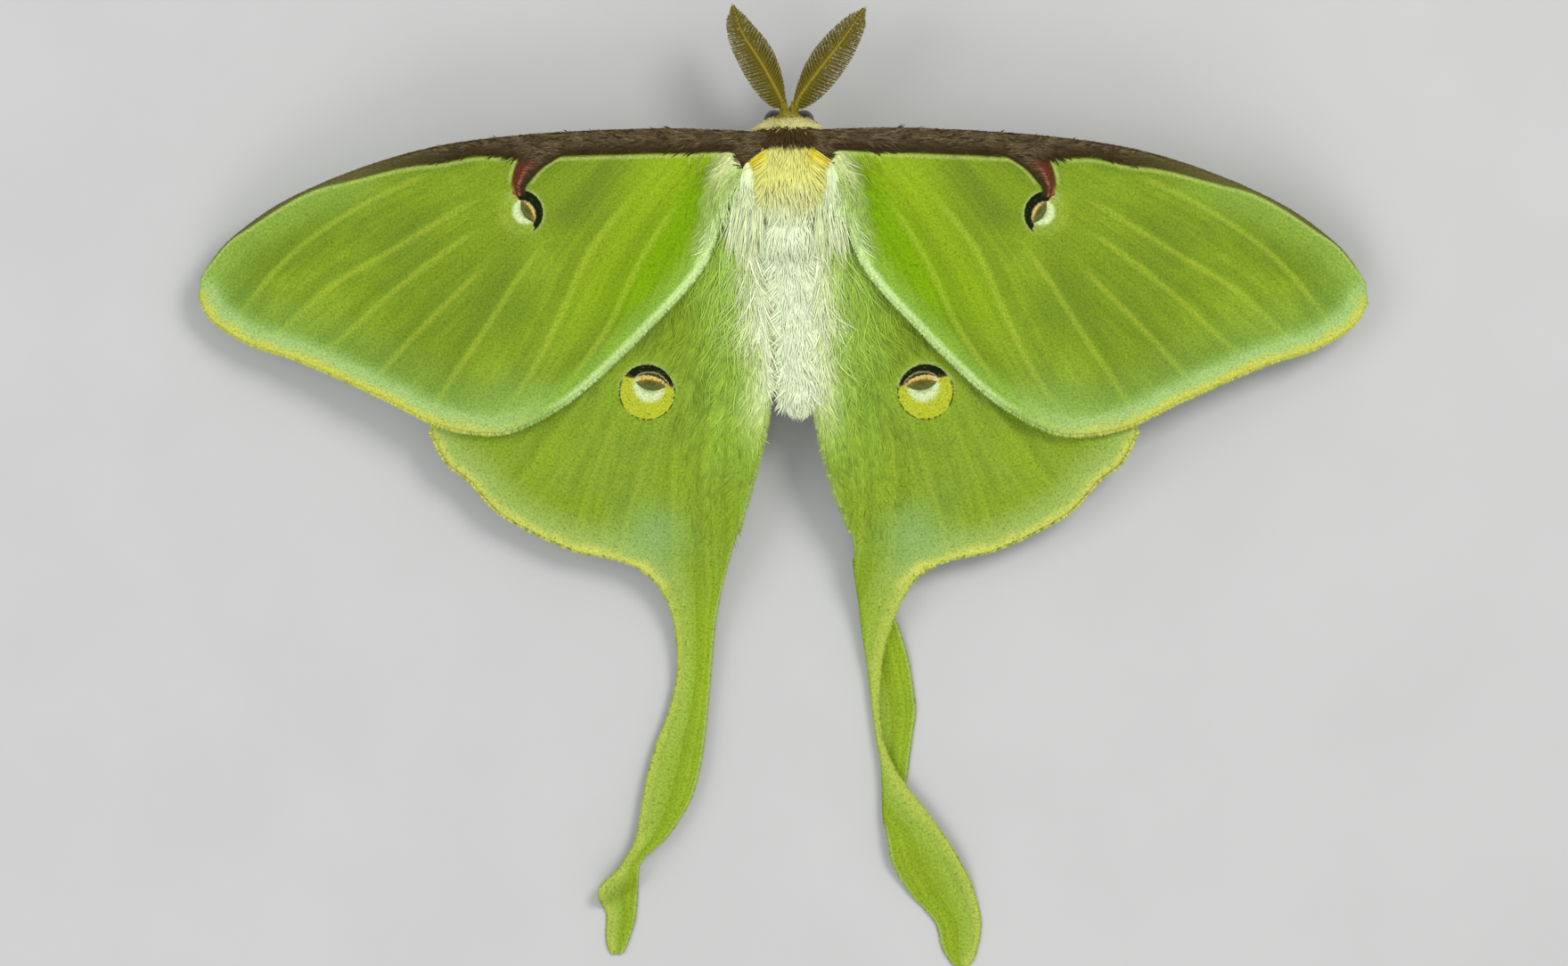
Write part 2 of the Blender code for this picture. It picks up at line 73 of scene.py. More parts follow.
# Tails: (y, distance of the inner edge from the middle line, and of the outer edge)
TAIL_EDGES = {
    -1: [(-10.3, 5.7, 10.6), (-12.5, 6.1, 10.0), (-16.0, 6.4, 9.7), (-19.5, 6.7, 10.3),
         (-24.0, 7.2, 11.9), (-27.7, 8.1, 12.8), (-31.4, 10.3, 13.4), (-34.2, 12.9, 14.9),
         (-36.6, 13.1, 16.9), (-38.8, 13.3, 16.1), (-40.6, 13.8, 16.2), (-41.8, 14.3, 15.9),
         (-42.3, 14.7, 15.5)],
    1: [(-10.3, 6.8, 10.65), (-12.8, 7.1, 9.7), (-16.1, 7.6, 8.9), (-19.5, 8.0, 8.65),
        (-22.5, 8.4, 8.95), (-25.7, 8.9, 10.3), (-29.4, 9.0, 13.1), (-33.4, 9.5, 15.8),
        (-36.3, 11.0, 17.2), (-39.6, 13.7, 17.9), (-41.6, 14.2, 17.6), (-43.0, 15.1, 17.0),
        (-43.4, 15.6, 16.5)],
}
# (y, how far the inner part of the wing is folded under it; below zero it lies open)
FOLDED_UNDER = {
    -1: [(-43.4, -1.8), (24.0, -1.8)],
    1: [(-43.4, -1.8), (-33.4, -1.8), (-31.2, -0.6), (-27.4, 2.0), (-24.8, 2.6), (-22.2, 3.4),
        (-19.5, 4.0), (-16.5, 3.9), (-13.0, 3.5), (-10.3, 2.5), (-7.6, 0.9), (-5.4, -0.6),
        (-2.0, -1.8), (24.0, -1.8)],
}
FOLD_RISE, FOLD_ROUND = 0.42, 0.5
FOLD_OPENS = (-1.8, -0.6)
TAIL_LEVEL = {
    -1: [(-42.3, 1.6), (-33.0, 1.5), (-28.0, 1.2), (-20.0, 1.15), (-13.5, 1.55), (-10.3, 2.2)],
    1: [(-43.4, 0.25), (-38.0, 0.25), (-36.5, 0.4), (-32.0, 1.12), (-18.0, 1.15), (-13.5, 1.55),
        (-10.3, 2.2)],
}
CREASE_FROM, CREASE_TO = np.array((13.2, -34.5)), np.array((16.8, -36.7))
CREASE_DROP = 1.6
FLOOR_CLEAR = 0.25     # height of the middle of a tail where it lies on the floor

TRUNK_X = 0.45
THORAX_REAR, THORAX_FRONT = 23.4, 33.5
THORAX_HALF_WIDTH, THORAX_HALF_HEIGHT = 4.1, 3.9
THORAX_Z, THORAX_LIFT = 6.9, 0.7
ABDOMEN_TIP, ABDOMEN_FRONT = 6.7, 25.6
ABDOMEN_RADII = [(ABDOMEN_TIP, 1.75), (9.0, 1.95), (13.0, 2.15), (19.0, 2.55), (ABDOMEN_FRONT, 3.2)]
ABDOMEN_Z, ABDOMEN_LEAN, ABDOMEN_SAG = 6.7, 0.8, 0.9
HEAD_CENTRE = np.array((TRUNK_X, 32.6, 5.7))
HEAD_RADII = np.array((1.65, 1.6, 1.7))
ANTENNAE = {
    -1: [(0.1, 34.0, 7.5), (-0.8, 35.8, 8.0), (-2.1, 38.1, 8.5), (-3.8, 40.8, 8.6),
         (-4.65, 43.35, 8.2)],
    1: [(0.9, 34.0, 7.5), (1.6, 35.3, 7.8), (3.0, 37.2, 8.4), (5.2, 40.0, 8.6), (7.35, 43.1, 8.2)],
}
COMB_OUTER, COMB_INNER = (1.85, 0.75, 0.6), (1.5, 1.1, 0.8)  # longest branch, and two powers
COMB_LEAN = {True: 0.30, False: 0.72}  # how far outer and inner branches lean forward
LEGS = {
    "front": [(1.5, 31.0, 4.2), (4.4, 31.2, 4.3), (5.9, 30.8, 1.0), (8.4, 31.3, 0.24)],
    "mid": [(1.7, 28.5, 3.9), (5.0, 28.2, 4.4), (7.2, 27.6, 1.0), (10.0, 27.0, 0.24)],
    "hind": [(1.6, 26.0, 4.2), (4.4, 24.0, 4.4), (6.2, 22.0, 1.0), (8.0, 19.6, 0.24)],
}

# ---------------------------------------------------------------- sizes of the dressed moth

WING_HALF_THICK = {"fore": 0.15, "hind": 0.13}
WING_EDGE = 0.5        # width along the outline in which a wing thins to nothing
FRINGE_ROOM = 0.16     # the skins end this far inside the outline, and the fringe fills it
THORAX_COAT, ABDOMEN_COAT, HEAD_COAT = 0.5, 0.28, 0.3  # depth of the coat over the skin
BODY_VOXEL = 0.15      # fineness of the body's skin
FORE_GRID = (220, 100)      # rows and columns of the forewing's grid
HIND_ROWS = (60, 110, 170)  # rows of the hindwing's grid along its front, its margin and its tail
HIND_COLUMNS = 64

# Markings of the forewing
FOREWING_VEINS = [
    [(29.8, 28.7), (37.0, 25.5), (43.0, 21.6), (46.6, 18.0), (49.0, 14.8)],
    [(24.8, 27.3), (30.6, 23.8), (35.9, 20.5), (40.6, 17.7), (45.2, 13.4)],
    [(24.8, 24.8), (29.4, 21.6), (34.1, 18.0), (37.7, 14.8), (40.3, 12.5)],
    [(24.5, 21.6), (28.0, 18.4), (32.3, 14.1), (35.9, 10.2)],
    [(19.8, 23.8), (23.4, 19.0), (27.0, 13.4), (31.3, 7.0)],
    [(12.6, 27.0), (17.0, 21.6), (19.8, 15.5), (22.7, 9.8), (25.9, 5.5)],
    [(7.4, 27.7), (10.6, 23.8), (13.4, 19.0), (15.5, 14.4), (18.4, 10.2)],
]
FOREWING_VEIN_STARTS = [31.0, 26.5, 26.5, 26.0, 20.5, 13.0, 8.5]
COSTAL_BORDER = [(1.2, 28.4), (3.6, 28.5), (4.1, 29.4), (4.7, 30.05), (12.0, 29.85),
                 (18.7, 29.6), (24.0, 29.4), (27.0, 29.5), (30.6, 28.9), (33.6, 28.5),
                 (38.0, 27.5), (41.6, 26.6), (44.0, 25.5), (47.8, 23.1), (49.7, 21.8),
                 (52.4, 18.5)]
STALK = [(26.0, 23.55, 0.45), (26.8, 23.65, 0.65), (27.6, 23.35, 0.93), (28.4, 22.9, 1.2),
         (29.3, 22.1, 1.7), (30.0, 21.6, 2.6)]  # (y, x of its middle, half width)
LUSH_LINE = np.array(((6.5, 28.6), (15.5, 14.5)))  # middle of the greenest stretch
FORE_SPOT = (23.52, 24.5, 2.06, math.radians(51))  # place, radius and turn
# Markings of the hindwing
HINDWING_VEINS = [
    [(6.0, 24.5), (14.0, 18.0), (22.0, 10.0), (28.5, 3.0)],
    [(5.5, 23.5), (12.0, 15.0), (18.0, 8.0), (22.5, 2.0), (25.2, -1.2)],
    [(5.0, 22.5), (9.8, 14.0), (14.5, 7.0), (17.5, 0.0), (18.8, -4.6)],
    [(4.6, 21.5), (8.2, 14.0), (11.2, 7.0), (13.0, 0.8), (14.6, -4.9)],
    [(4.1, 20.5), (6.8, 13.0), (8.9, 7.0), (9.9, 1.5), (9.8, -6.0)],
    [(3.4, 19.5), (4.9, 13.0), (6.4, 6.5), (7.1, 0.5), (7.0, -5.9)],
]
TAIL_VEINS = (0.69, 0.26)  # shares of the tail's width where its two veins run
HIND_SPOT = {-1: (12.35, 8.56, 2.5, 0.0), 1: (12.76, 8.6, 2.5, 0.0)}
# The fur's attributes with their colours, from the lowest layer up
FUR_COLOURS = [("white", (0.810, 0.915, 0.590)), ("green", (0.700, 0.810, 0.460)),
               ("gold", (0.700, 0.560, 0.015)), ("collar", (0.620, 0.585, 0.235)),
               ("crown", (0.320, 0.270, 0.035)), ("brown", (0.064, 0.040, 0.014)),
               ("maroon", (0.125, 0.045, 0.035))]


# ---------------------------------------------------------------- curves and numbers

def smoothstep(value):
    value = np.clip(value, 0.0, 1.0)
    return value * value * (3 - 2 * value)


def between(low, high, value):
    """A smooth rise from 0 at low to 1 at high; low may be the larger one."""
    return smoothstep((value - low) / (high - low))


def hump(*terms):
    """A bell: 1 where each value is at its middle. The terms are (value, middle, width)."""
    return np.exp(-sum(((value - middle) / width) ** 2 for value, middle, width in terms))


def stacked(*parts):
    """Arrays and single numbers side by side."""
    return np.column_stack(np.broadcast_arrays(*parts))


def travelled(line):
    """The way along a line of points up to each of them."""
    return np.concatenate([[0.0], np.cumsum(np.linalg.norm(np.diff(line, axis=0), axis=1))])


def even_curve(points, count, steps=24):
    """count points, evenly spaced along the smooth curve through the given points."""
    p = np.array(points, float)
    p = np.vstack([p[:1], p, p[-1:]])
    t = np.arange(steps)[:, None] / steps
    fine = [0.5 * (2 * p1 + (p2 - p0) * t + (2 * p0 - 5 * p1 + 4 * p2 - p3) * t ** 2
                   + (3 * p1 - p0 - 3 * p2 + p3) * t ** 3)
            for p0, p1, p2, p3 in zip(p, p[1:], p[2:], p[3:])]
    fine = np.vstack(fine + [p[-1:]])
    at = travelled(fine)
    want = np.linspace(0.0, at[-1], count)
    return np.column_stack([np.interp(want, at, column) for column in fine.T])


def along_stations(stations, y, column=1):
    """A column of the stations at the places y, on a smooth curve that doesn't overshoot."""
    rows = np.array(sorted(stations), float)
    ys, values = rows[:, 0], rows[:, column]
    slopes = np.diff(values) / np.diff(ys)
    product = slopes[:-1] * slopes[1:]
    total = np.where(product > 0, slopes[:-1] + slopes[1:], 1.0)
    tangents = np.concatenate([slopes[:1], np.where(product > 0, 2 * product / total, 0.0), slopes[-1:]])
    y = np.clip(y, ys[0], ys[-1])
    at = np.clip(np.searchsorted(ys, y, side="right") - 1, 0, len(ys) - 2)
    step = ys[at + 1] - ys[at]
    t = (y - ys[at]) / step
    return (values[at] * (2 * t ** 3 - 3 * t ** 2 + 1) + step * tangents[at] * (t ** 3 - 2 * t ** 2 + t)
            + values[at + 1] * (3 * t ** 2 - 2 * t ** 3) + step * tangents[at + 1] * (t ** 3 - t ** 2))


def signed_distance(points, curve):
    """Distance of points to a line of points, above zero on its right side looking along it."""
    best = np.full(len(points), np.inf)
    sign = np.ones(len(points))
    for start, step in zip(curve[:-1], np.diff(curve, axis=0)):
        away = points - start
        share = np.clip(away @ step / (step @ step), 0.0, 1.0)
        distance = np.hypot(*(away - share[:, None] * step).T)
        closer = distance < best - 1e-9
        best[closer] = distance[closer]
        sign[closer] = np.where(away[:, 0] * step[1] - away[:, 1] * step[0] > 0, 1.0, -1.0)[closer]
    return best * sign


def off_line(flat, line):
    """Distances of a grid of places to a line of points."""
    return np.abs(signed_distance(flat.reshape(-1, 2), line)).reshape(flat.shape[:2])


def lengthened(curve, by):
    """The curve with a straight stretch added at both its ends."""
    start, end = curve[0] - curve[1], curve[-1] - curve[-2]
    return np.vstack([curve[0] + start / np.linalg.norm(start) * by, curve,
                      curve[-1] + end / np.linalg.norm(end) * by])


def among_veins(flat, veins):
    """(place, spacing) on a grid: the place is a whole number on each vein, spacing is millimetres."""
    points = flat.reshape(-1, 2)
    lines = [lengthened(even_curve(vein, 14), 15.0) for vein in veins]
    away = np.array([signed_distance(points, line) for line in lines])
    at = np.clip((away >= 0).sum(axis=0) - 1, 0, len(veins) - 2)
    index = np.arange(len(points))
    spacing = np.maximum(away[at, index] - away[at + 1, index], 0.4)
    return (at + away[at, index] / spacing).reshape(flat.shape[:2]), spacing.reshape(flat.shape[:2])


def unit(vectors):
    return vectors / np.maximum(np.linalg.norm(vectors, axis=-1, keepdims=True), 1e-9)


def upright(vectors, axis):
    """The directions of the vectors' parts at right angles to an axis."""
    return unit(vectors - axis * (vectors * axis).sum(axis=1, keepdims=True))


def wave(points, scale, seed):
    """A smooth field between about -1 and 1, made of a few sine waves in fixed random directions."""
    rng = np.random.default_rng(seed)
    total = 0.0
    for _ in range(5):
        direction = unit(rng.normal(size=points.shape[1])) * rng.uniform(0.6, 1.5) * scale
        total = total + np.sin(points @ direction + rng.uniform(0, 2 * math.pi))
    return total / 2.6


# ---------------------------------------------------------------- materials

class Finish:
    """A Principled material whose colour is built up in layers."""

    def __init__(self, name, base, roughness, gloss=0.5, coat=0.0):
        self.material = bpy.data.materials.new(name)
        self.material.use_nodes = True
        self.tree = self.material.node_tree
        self.shader = self.tree.nodes["Principled BSDF"]
        for key, value in (("Roughness", roughness), ("Specular IOR Level", gloss),
                           ("Coat Weight", coat)):
            self.shader.inputs[key].default_value = value
        self.colour = base

    def put(self, socket, value):
        if isinstance(value, bpy.types.NodeSocket):
            self.tree.links.new(value, socket)
        elif isinstance(value, tuple):
            socket.default_value = (*value, 1.0) if socket.type == "RGBA" else value
        else:
            socket.default_value = value

    def node(self, kind, *values, **settings):
        """A new node with its first inputs filled in; None leaves an input alone."""
        node = self.tree.nodes.new("ShaderNode" + kind)
        for key, setting in settings.items():
            setattr(node, key, setting)
        for socket, value in zip(node.inputs, values):
            if value is not None:
                self.put(socket, value)
        return node

    def math(self, operation, *values):
        return self.node("Math", *values, operation=operation).outputs[0]

    def product(self, first, *others):
        for other in others:
            first = self.math("MULTIPLY", first, other)
        return first

    def read(self, name, output="Fac"):
        return self.node("Attribute", attribute_name=name).outputs[output]

    def parts(self, vector):
        return self.node("SeparateXYZ", vector).outputs[:2]

    def vector(self, x, y, z=0.0):
        return self.node("CombineXYZ", x, y, z).outputs[0]

    def step(self, value, low, high):
        """0 at low, 1 at high and a smooth rise between; low may be the larger one."""
        return self.node("MapRange", value, low, high, interpolation_type="SMOOTHSTEP").outputs[0]

    def band(self, value, low, high, soft):
        """1 between low and high, fading over the width soft at both."""
        return self.product(self.step(value, low - soft, low + soft),
                            self.step(value, high + soft, high - soft))

    def noise(self, vector, scale, detail=2.0, roughness=0.5):
        node = self.node("TexNoise", vector)
        for key, value in (("Scale", scale), ("Detail", detail), ("Roughness", roughness)):
            node.inputs[key].default_value = value
        return node.outputs["Fac"]

    def cells(self, vector, scale, feature="F1"):
        node = self.node("TexVoronoi", vector, feature=feature)
        node.inputs["Scale"].default_value = scale
        return node.outputs["Distance"]

    def mixed(self, share, first, second, blend="MIX"):
        node = self.node("Mix", data_type="RGBA", blend_type=blend)
        for at, value in ((0, share), (6, first), (7, second)):
            self.put(node.inputs[at], value)
        return node.outputs[2]

    def share(self, *conditions):
        """A product of shares: (value, low, high) is a step, and with a fourth number a band."""
        return self.product(*(each if not isinstance(each, tuple)
                              else self.step(*each) if len(each) == 3 else self.band(*each)
                              for each in conditions))

    def layer(self, colour, *conditions):
        """Lays a colour over the ones below, as far as the conditions' share goes."""
        self.colour = self.mixed(self.share(*conditions), self.colour, colour)

    def shade(self, value, low, high):
        """Darkens or lightens the colour: a value of 0 times low, and 1 times high."""
        times = self.node("MapRange", value, 0.0, 1.0, low, high).outputs[0]
        self.colour = self.mixed(1.0, self.colour, self.vector(times, times, times), "MULTIPLY")

    def bump(self, height, distance):
        node = self.node("Bump")
        node.inputs["Strength"].default_value = 1.0
        node.inputs["Distance"].default_value = distance * MM
        self.put(node.inputs["Height"], height)
        self.put(self.shader.inputs["Normal"], node.outputs["Normal"])

    def done(self):
        self.put(self.shader.inputs["Base Color"], self.colour)
        return self.material


def add_eyespot(finish, yellow_share, lid_reach, lid_slope, lid_end):
    """The eyespot: a disc of radius 1 in the attribute spot, under a black lid.

    The lid reaches in to lid_reach from the middle and down to lid_end, on a line of lid_slope.
    """
    place = finish.read("spot", "Vector")
    u, v = finish.parts(place)
    grain = finish.noise(place, 13.0, 2.0)
    ragged = finish.product(finish.math("SUBTRACT", grain, 0.5), 0.10)

    def circle(x, y):
        across, up = finish.math("SUBTRACT", u, x), finish.math("SUBTRACT", v, y)
        square = finish.math("ADD", finish.product(across, across), finish.product(up, up))
        return finish.math("ADD", finish.math("SQRT", square), ragged)

    disc, lid, cream = circle(0.0, 0.0), circle(-0.09, -0.04), circle(0.03, -0.445)
    lens_top, lens_bowl, snow = circle(0.0, -0.737), circle(-0.22, 0.823), circle(-0.08, 0.20)
    high = finish.math("SUBTRACT", v, finish.product(u, lid_slope))
    in_disc = finish.step(disc, 1.0, 0.96)
    over = finish.share((lens_top, 1.14, 1.18), in_disc, (high, lid_end - 0.15, lid_end - 0.05))
    lens = finish.share((lens_top, 1.185, 1.15), (lens_bowl, 0.80, 0.76))
    layer = finish.layer
    # The pale ring outside, the disc, its snow-white part and the shadow in it
    layer((0.33, 0.42, 0.15), (disc, 1.16, 1.0), (v, -0.3, 0.4), 0.55)
    layer((0.34, 0.44, 0.08), (disc, 1.3, 0.7), 1.0 - yellow_share, 0.25)
    layer((0.42, 0.47, 0.030), in_disc, yellow_share)
    layer((0.33, 0.38, 0.03), in_disc, yellow_share, (grain, 0.56, 0.66), 0.5)
    layer((0.60, 0.71, 0.36), (snow, 0.66, 0.44), in_disc)
    layer((0.20, 0.27, 0.10), (lens_bowl, 0.98, 0.80), (snow, 0.5, 0.2), 0.55)
    # Over the lens: cream, orange flecks, brown and a thin grey arc
    layer((0.60, 0.47, 0.13), over)
    layer((0.22, 0.12, 0.02), over, (lens_top, 1.26, 1.20), (grain, 0.45, 0.55))
    layer((0.055, 0.038, 0.010), over, (cream, 1.03, 1.06))
    layer((0.26, 0.24, 0.14), over, (lid, lid_reach - 0.05, lid_reach, 0.015))
    # The lens, the black lid and the dotted ring
    layer((0.050, 0.062, 0.010), lens)
    layer((0.125, 0.140, 0.035), lens, (lens_bowl, 0.45, 0.66), 0.7)
    layer((0.22, 0.13, 0.025), lens, (lens_top, 1.04, 1.14), 0.6)
    layer((0.008, 0.013, 0.003), in_disc, (lid, lid_reach - 0.02, lid_reach + 0.02),
          (high, lid_end - 0.04, lid_end + 0.04))
    layer((0.055, 0.065, 0.010), (disc, 0.955, 1.015, 0.02), (v, 0.5, 0.3),
          (finish.noise(place, 6.0, 1.0), 0.44, 0.5), yellow_share, 0.9)


def wing_finish(name, fore):
    """Scales of a wing. Its attributes hold distances in millimetres and places on the wing."""
    finish = Finish(name, (0.182, 0.280, 0.017) if fore else (0.218, 0.330, 0.029), 0.78, gloss=0.03)
    flat = finish.read("flat", "Vector")
    margin, outer, place, veined, rim = map(finish.read, ("margin", "outer", "vein", "veined", "rim"))
    inner = finish.math("SUBTRACT", 1.0, outer)
    side = finish.product(finish.math("SUBTRACT", place, finish.math("ROUND", place)),
                          finish.read("spacing"))
    off_vein = finish.math("ABSOLUTE", side)
    rim_edge = finish.math("ADD", margin, finish.product(finish.noise(flat, 0.6, 2.0), 1.2))
    clouds = finish.noise(flat, 0.16, 3.0)
    layer = finish.layer
    layer((0.222, 0.335, 0.021), (clouds, 0.42, 0.62))
    layer((0.140, 0.235, 0.022), (clouds, 0.45, 0.33), 0.5)
    layer((0.118, 0.190, 0.018), finish.read("cell"), 0.9)
    layer((0.165, 0.325, 0.002) if fore else (0.365, 0.590, 0.070), finish.read("lush"), 0.95)
    # On the forewing this is a painted highlight on the pleats; on the hindwing it is the tails' own
    # yellow
    layer((0.275, 0.400, 0.014), finish.read("yellow"), 0.7)
    stretched = finish.vector(finish.product(place, 9.0), finish.product(margin, 0.22))
    streaks = finish.noise(stretched, 1.0, 3.0)
    finish.shade(finish.step(streaks, 0.25, 0.75), 0.90, 1.09)
    # Veins: a thin paler line, and painted shade along its outer side, where the wing's fold dips beside
    # the vein
    layer((0.118, 0.190, 0.014), (side, -1.5, -0.35, 0.35), veined, 0.28 if fore else 0.2)
    layer((0.340, 0.440, 0.038), (off_vein, 0.42, 0.04), veined, 0.45 if fore else 0.3)
    # The outer edge: paler and more blue
    if fore:
        layer((0.205, 0.345, 0.075), (margin, 7.0, 2.0), outer, 0.35)
        layer((0.305, 0.490, 0.135), (margin, 3.2, 1.0), outer, 0.85)
    else:
        layer((0.335, 0.465, 0.115), (margin, 4.0, 0.7), outer, rim, 0.8)
    layer((0.255, 0.410, 0.075) if fore else (0.250, 0.400, 0.130), finish.read("mint"), 0.75)
    layer((0.740, 0.800, 0.380) if fore else (0.700, 0.830, 0.340), finish.read("pale"), 0.95)
    # The inner edge, white along the forewing and hairy along the hindwing, and the yellow rim
    if fore:
        layer((0.235, 0.420, 0.050), (margin, 2.6, 0.9), inner, 0.7)
        layer((0.540, 0.710, 0.280), (margin, 0.98, 0.5), inner, finish.read("white"))
        layer((0.430, 0.590, 0.220), (rim_edge, 2.9, 2.0), outer, 0.4)
        layer((0.520, 0.545, 0.085), (rim_edge, 1.9, 1.0), (finish.parts(flat)[0], 20.0, 32.0))
        add_eyespot(finish, 0.1, 0.65, 0.155, 0.22)
        add_costal_band(finish, flat)
    else:
        layer((0.860, 0.930, 0.640), finish.read("white"))
        layer((0.380, 0.490, 0.150), (margin, 0.5, 0.25), inner, 0.6)
        layer((0.560, 0.590, 0.110), (rim_edge, 1.9, 0.7), outer, rim)
        layer((0.180, 0.170, 0.020), (margin, 0.28, 0.18), outer, (rim, 0.6, 0.9),
              (finish.noise(flat, 2.6, 1.0), 0.54, 0.58), 0.6)
        add_eyespot(finish, 1.0, 0.78, 0.22, 0.48)
    # Single scales, dark specks and grain
    scales = finish.cells(flat, 5.5)
    finish.shade(scales, 1.12, 0.84)
    layer((0.085, 0.130, 0.012), (finish.noise(flat, 3.4, 1.0), 0.60, 0.70), 0.28 if fore else 0.42)
    grain = finish.noise(flat, 5.0, 3.0, 0.65)
    finish.shade(finish.step(grain, 0.25, 0.75), 0.80, 1.20)
    finish.shade(finish.math("ADD", finish.read("shade"), 0.5), 0.80, 1.20)
    finish.bump(finish.math("ADD", finish.product(streaks, 2.0), finish.math("SUBTRACT", grain, scales)),
                0.035)
    return finish.done()


def add_costal_band(finish, flat):
    """The brown band along the forewing's front edge and the stalk from it to the eyespot."""
    costal, stalk = finish.read("costal"), finish.read("stalk")
    x, y = finish.parts(flat)
    u, v = finish.parts(finish.read("spot", "Vector"))
    from_spot = finish.math("ADD", finish.product(u, u), finish.product(v, v))
    hairs = finish.noise(finish.vector(finish.product(x, 0.9), finish.product(y, 5.0)), 1.0, 3.0, 0.6)
    band = finish.share((costal, -0.12, 0.16), (x, 52.6, 49.0))
    core = finish.share(band, (stalk, -0.35, 0.1), (stalk, 1.4, 1.1), (y, 29.7, 28.6))
    layer = finish.layer
    layer((0.275, 0.440, 0.090), (costal, -4.2, -0.4), (x, 32.0, 43.0), 0.42)
    layer((0.40, 0.49, 0.13), (costal, -0.38, -0.08, 0.14), (from_spot, 1.5, 2.2), 0.6)
    layer((0.036, 0.024, 0.009), band)
    # Lighter hairs towards the band's front edge: partly the hairs' own pale colour, partly a painted
    # highlight on the rounded front rod
    layer((0.158, 0.114, 0.062), band, (costal, 0.3, 1.5), (hairs, 0.36, 0.68))
    layer((0.135, 0.125, 0.038), band, (x, 28.0, 42.0), 0.8)
    layer((0.105, 0.028, 0.014), core, 0.9)
    layer((0.270, 0.105, 0.075), core, (stalk, -0.05, 0.3, 0.12), (hairs, 0.42, 0.6))
    layer((0.30, 0.20, 0.03), core, (stalk, 0.6, 0.95), (y, 27.6, 26.4), 0.8)


def fur_finish(name):
    """Fur of the body. Attributes between 0 and 1 say what share each colour has in a place."""
    finish = Finish(name, (0.740, 0.740, 0.205), 0.9, gloss=0.03)
    place = finish.read("place", "Vector")
    for key, colour in FUR_COLOURS:
        finish.layer(colour, finish.read(key))
    finish.shade(finish.step(finish.noise(place, 1.4, 3.0), 0.3, 0.7), 0.93, 1.04)
    finish.shade(finish.math("ADD", finish.read("shade"), 0.5), 0.94, 1.05)
    strands = finish.noise(place, 7.0, 3.0, 0.6)
    finish.shade(finish.step(strands, 0.25, 0.75), 0.94, 1.04)
    finish.bump(strands, 0.04)
    return finish.done()


def eye_finish():
    finish = Finish("eye_gloss", (0.016, 0.010, 0.007), 0.12, coat=0.6)
    place = finish.read("place", "Vector")
    facets = finish.cells(place, 9.0, "DISTANCE_TO_EDGE")
    finish.layer((0.040, 0.022, 0.010), (finish.noise(place, 0.9), 0.4, 0.7))
    finish.bump(finish.step(facets, 0.0, 0.12), 0.012)
    return finish.done()


def antenna_finish():
    finish = Finish("antenna_gold", (0.135, 0.105, 0.006), 0.6, gloss=0.15)
    finish.layer((0.240, 0.200, 0.040), finish.read("tip"))
    finish.layer((0.240, 0.185, 0.012), finish.read("shaft"))
    rings = finish.noise(finish.read("place", "Vector"), 3.2, 2.0)
    finish.shade(rings, 0.75, 1.25)
    finish.bump(rings, 0.02)
    return finish.done()


def floor_finish():
    finish = Finish("pale_floor", (0.50, 0.50, 0.49), 0.9, gloss=0.1)
    place = finish.node("TexCoord").outputs["Object"]
    finish.layer((0.515, 0.515, 0.505), (finish.noise(place, 60.0, 3.0), 0.3, 0.7))
    return finish.done()


# ---------------------------------------------------------------- meshes

def make_piece(name, vertices, faces, material, values=None, face_uvs=None):
    """A smooth mesh object from millimetres. values are attributes of its vertices."""
    mesh = bpy.data.meshes.new(name)
    mesh.from_pydata((np.asarray(vertices) * MM).tolist(), [], [list(face) for face in faces])
    for key, array in (values or {}).items():
        array = np.asarray(array, np.float32)
        if array.ndim == 1:
            mesh.attributes.new(key, "FLOAT", "POINT").data.foreach_set("value", array)
        else:
            wide = np.zeros((len(array), 3), np.float32)
            wide[:, :array.shape[1]] = array
            mesh.attributes.new(key, "FLOAT_VECTOR", "POINT").data.foreach_set("vector", wide.ravel())
    if face_uvs is not None:
        layer = mesh.uv_layers.new(name="OFBake")
        layer.uv.foreach_set("vector", np.asarray(face_uvs, np.float32).ravel())
    mesh.shade_smooth()
    mesh.materials.append(material)
    piece = bpy.data.objects.new(name, mesh)
    bpy.context.scene.collection.objects.link(piece)
    return piece


def dress(piece, slot, *nodes):
    """A piece of the moth: it rides on the moth's one body and may stand for some solids."""
    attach(piece, "root")
    if nodes:
        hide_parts(*nodes)
    return piece


def grid_faces(index):
    """Quads over a grid of vertex numbers."""
    a, b, c, d = index[:-1, :-1], index[1:, :-1], index[1:, 1:], index[:-1, 1:]
    return np.stack([a, b, c, d], axis=-1).reshape(-1, 4)


def tube(path, radii, sides=10):
    """Vertices and faces of a closed tube along a path of points."""
    path, radii = np.asarray(path, float), np.asarray(radii, float)
    ahead = unit(np.gradient(path, axis=0))
    side = unit(np.cross(ahead, (0.0, 0.0, 1.0)) + 1e-6)
    up = np.cross(side, ahead)
    angles = np.arange(sides) / sides * 2 * math.pi
    ring = (np.cos(angles)[None, :, None] * side[:, None] + np.sin(angles)[None, :, None] * up[:, None])
    vertices = (path[:, None] + radii[:, None, None] * ring).reshape(-1, 3)
    index = np.arange(len(path) * sides).reshape(len(path), sides)
    index = np.hstack([index, index[:, :1]])
    faces = [tuple(face[::-1]) for face in grid_faces(index)]
    faces += [tuple(index[0, :-1]), tuple(index[-1, :-1][::-1])]
    return vertices, faces


def joined(parts):
    """Several (vertices, faces) as one."""
    vertices, faces, start = [], [], 0
    for some, many in parts:
        vertices.append(some)
        faces += [tuple(int(i) + start for i in face) for face in many]
        start += len(some)
    return np.vstack(vertices), faces


# ---------------------------------------------------------------- wings

def wing_level(x, y):
    return ROOT_LEVEL - SPAN_DROOP * x * x - REAR_DROOP * (WING_LINE - y) ** 2


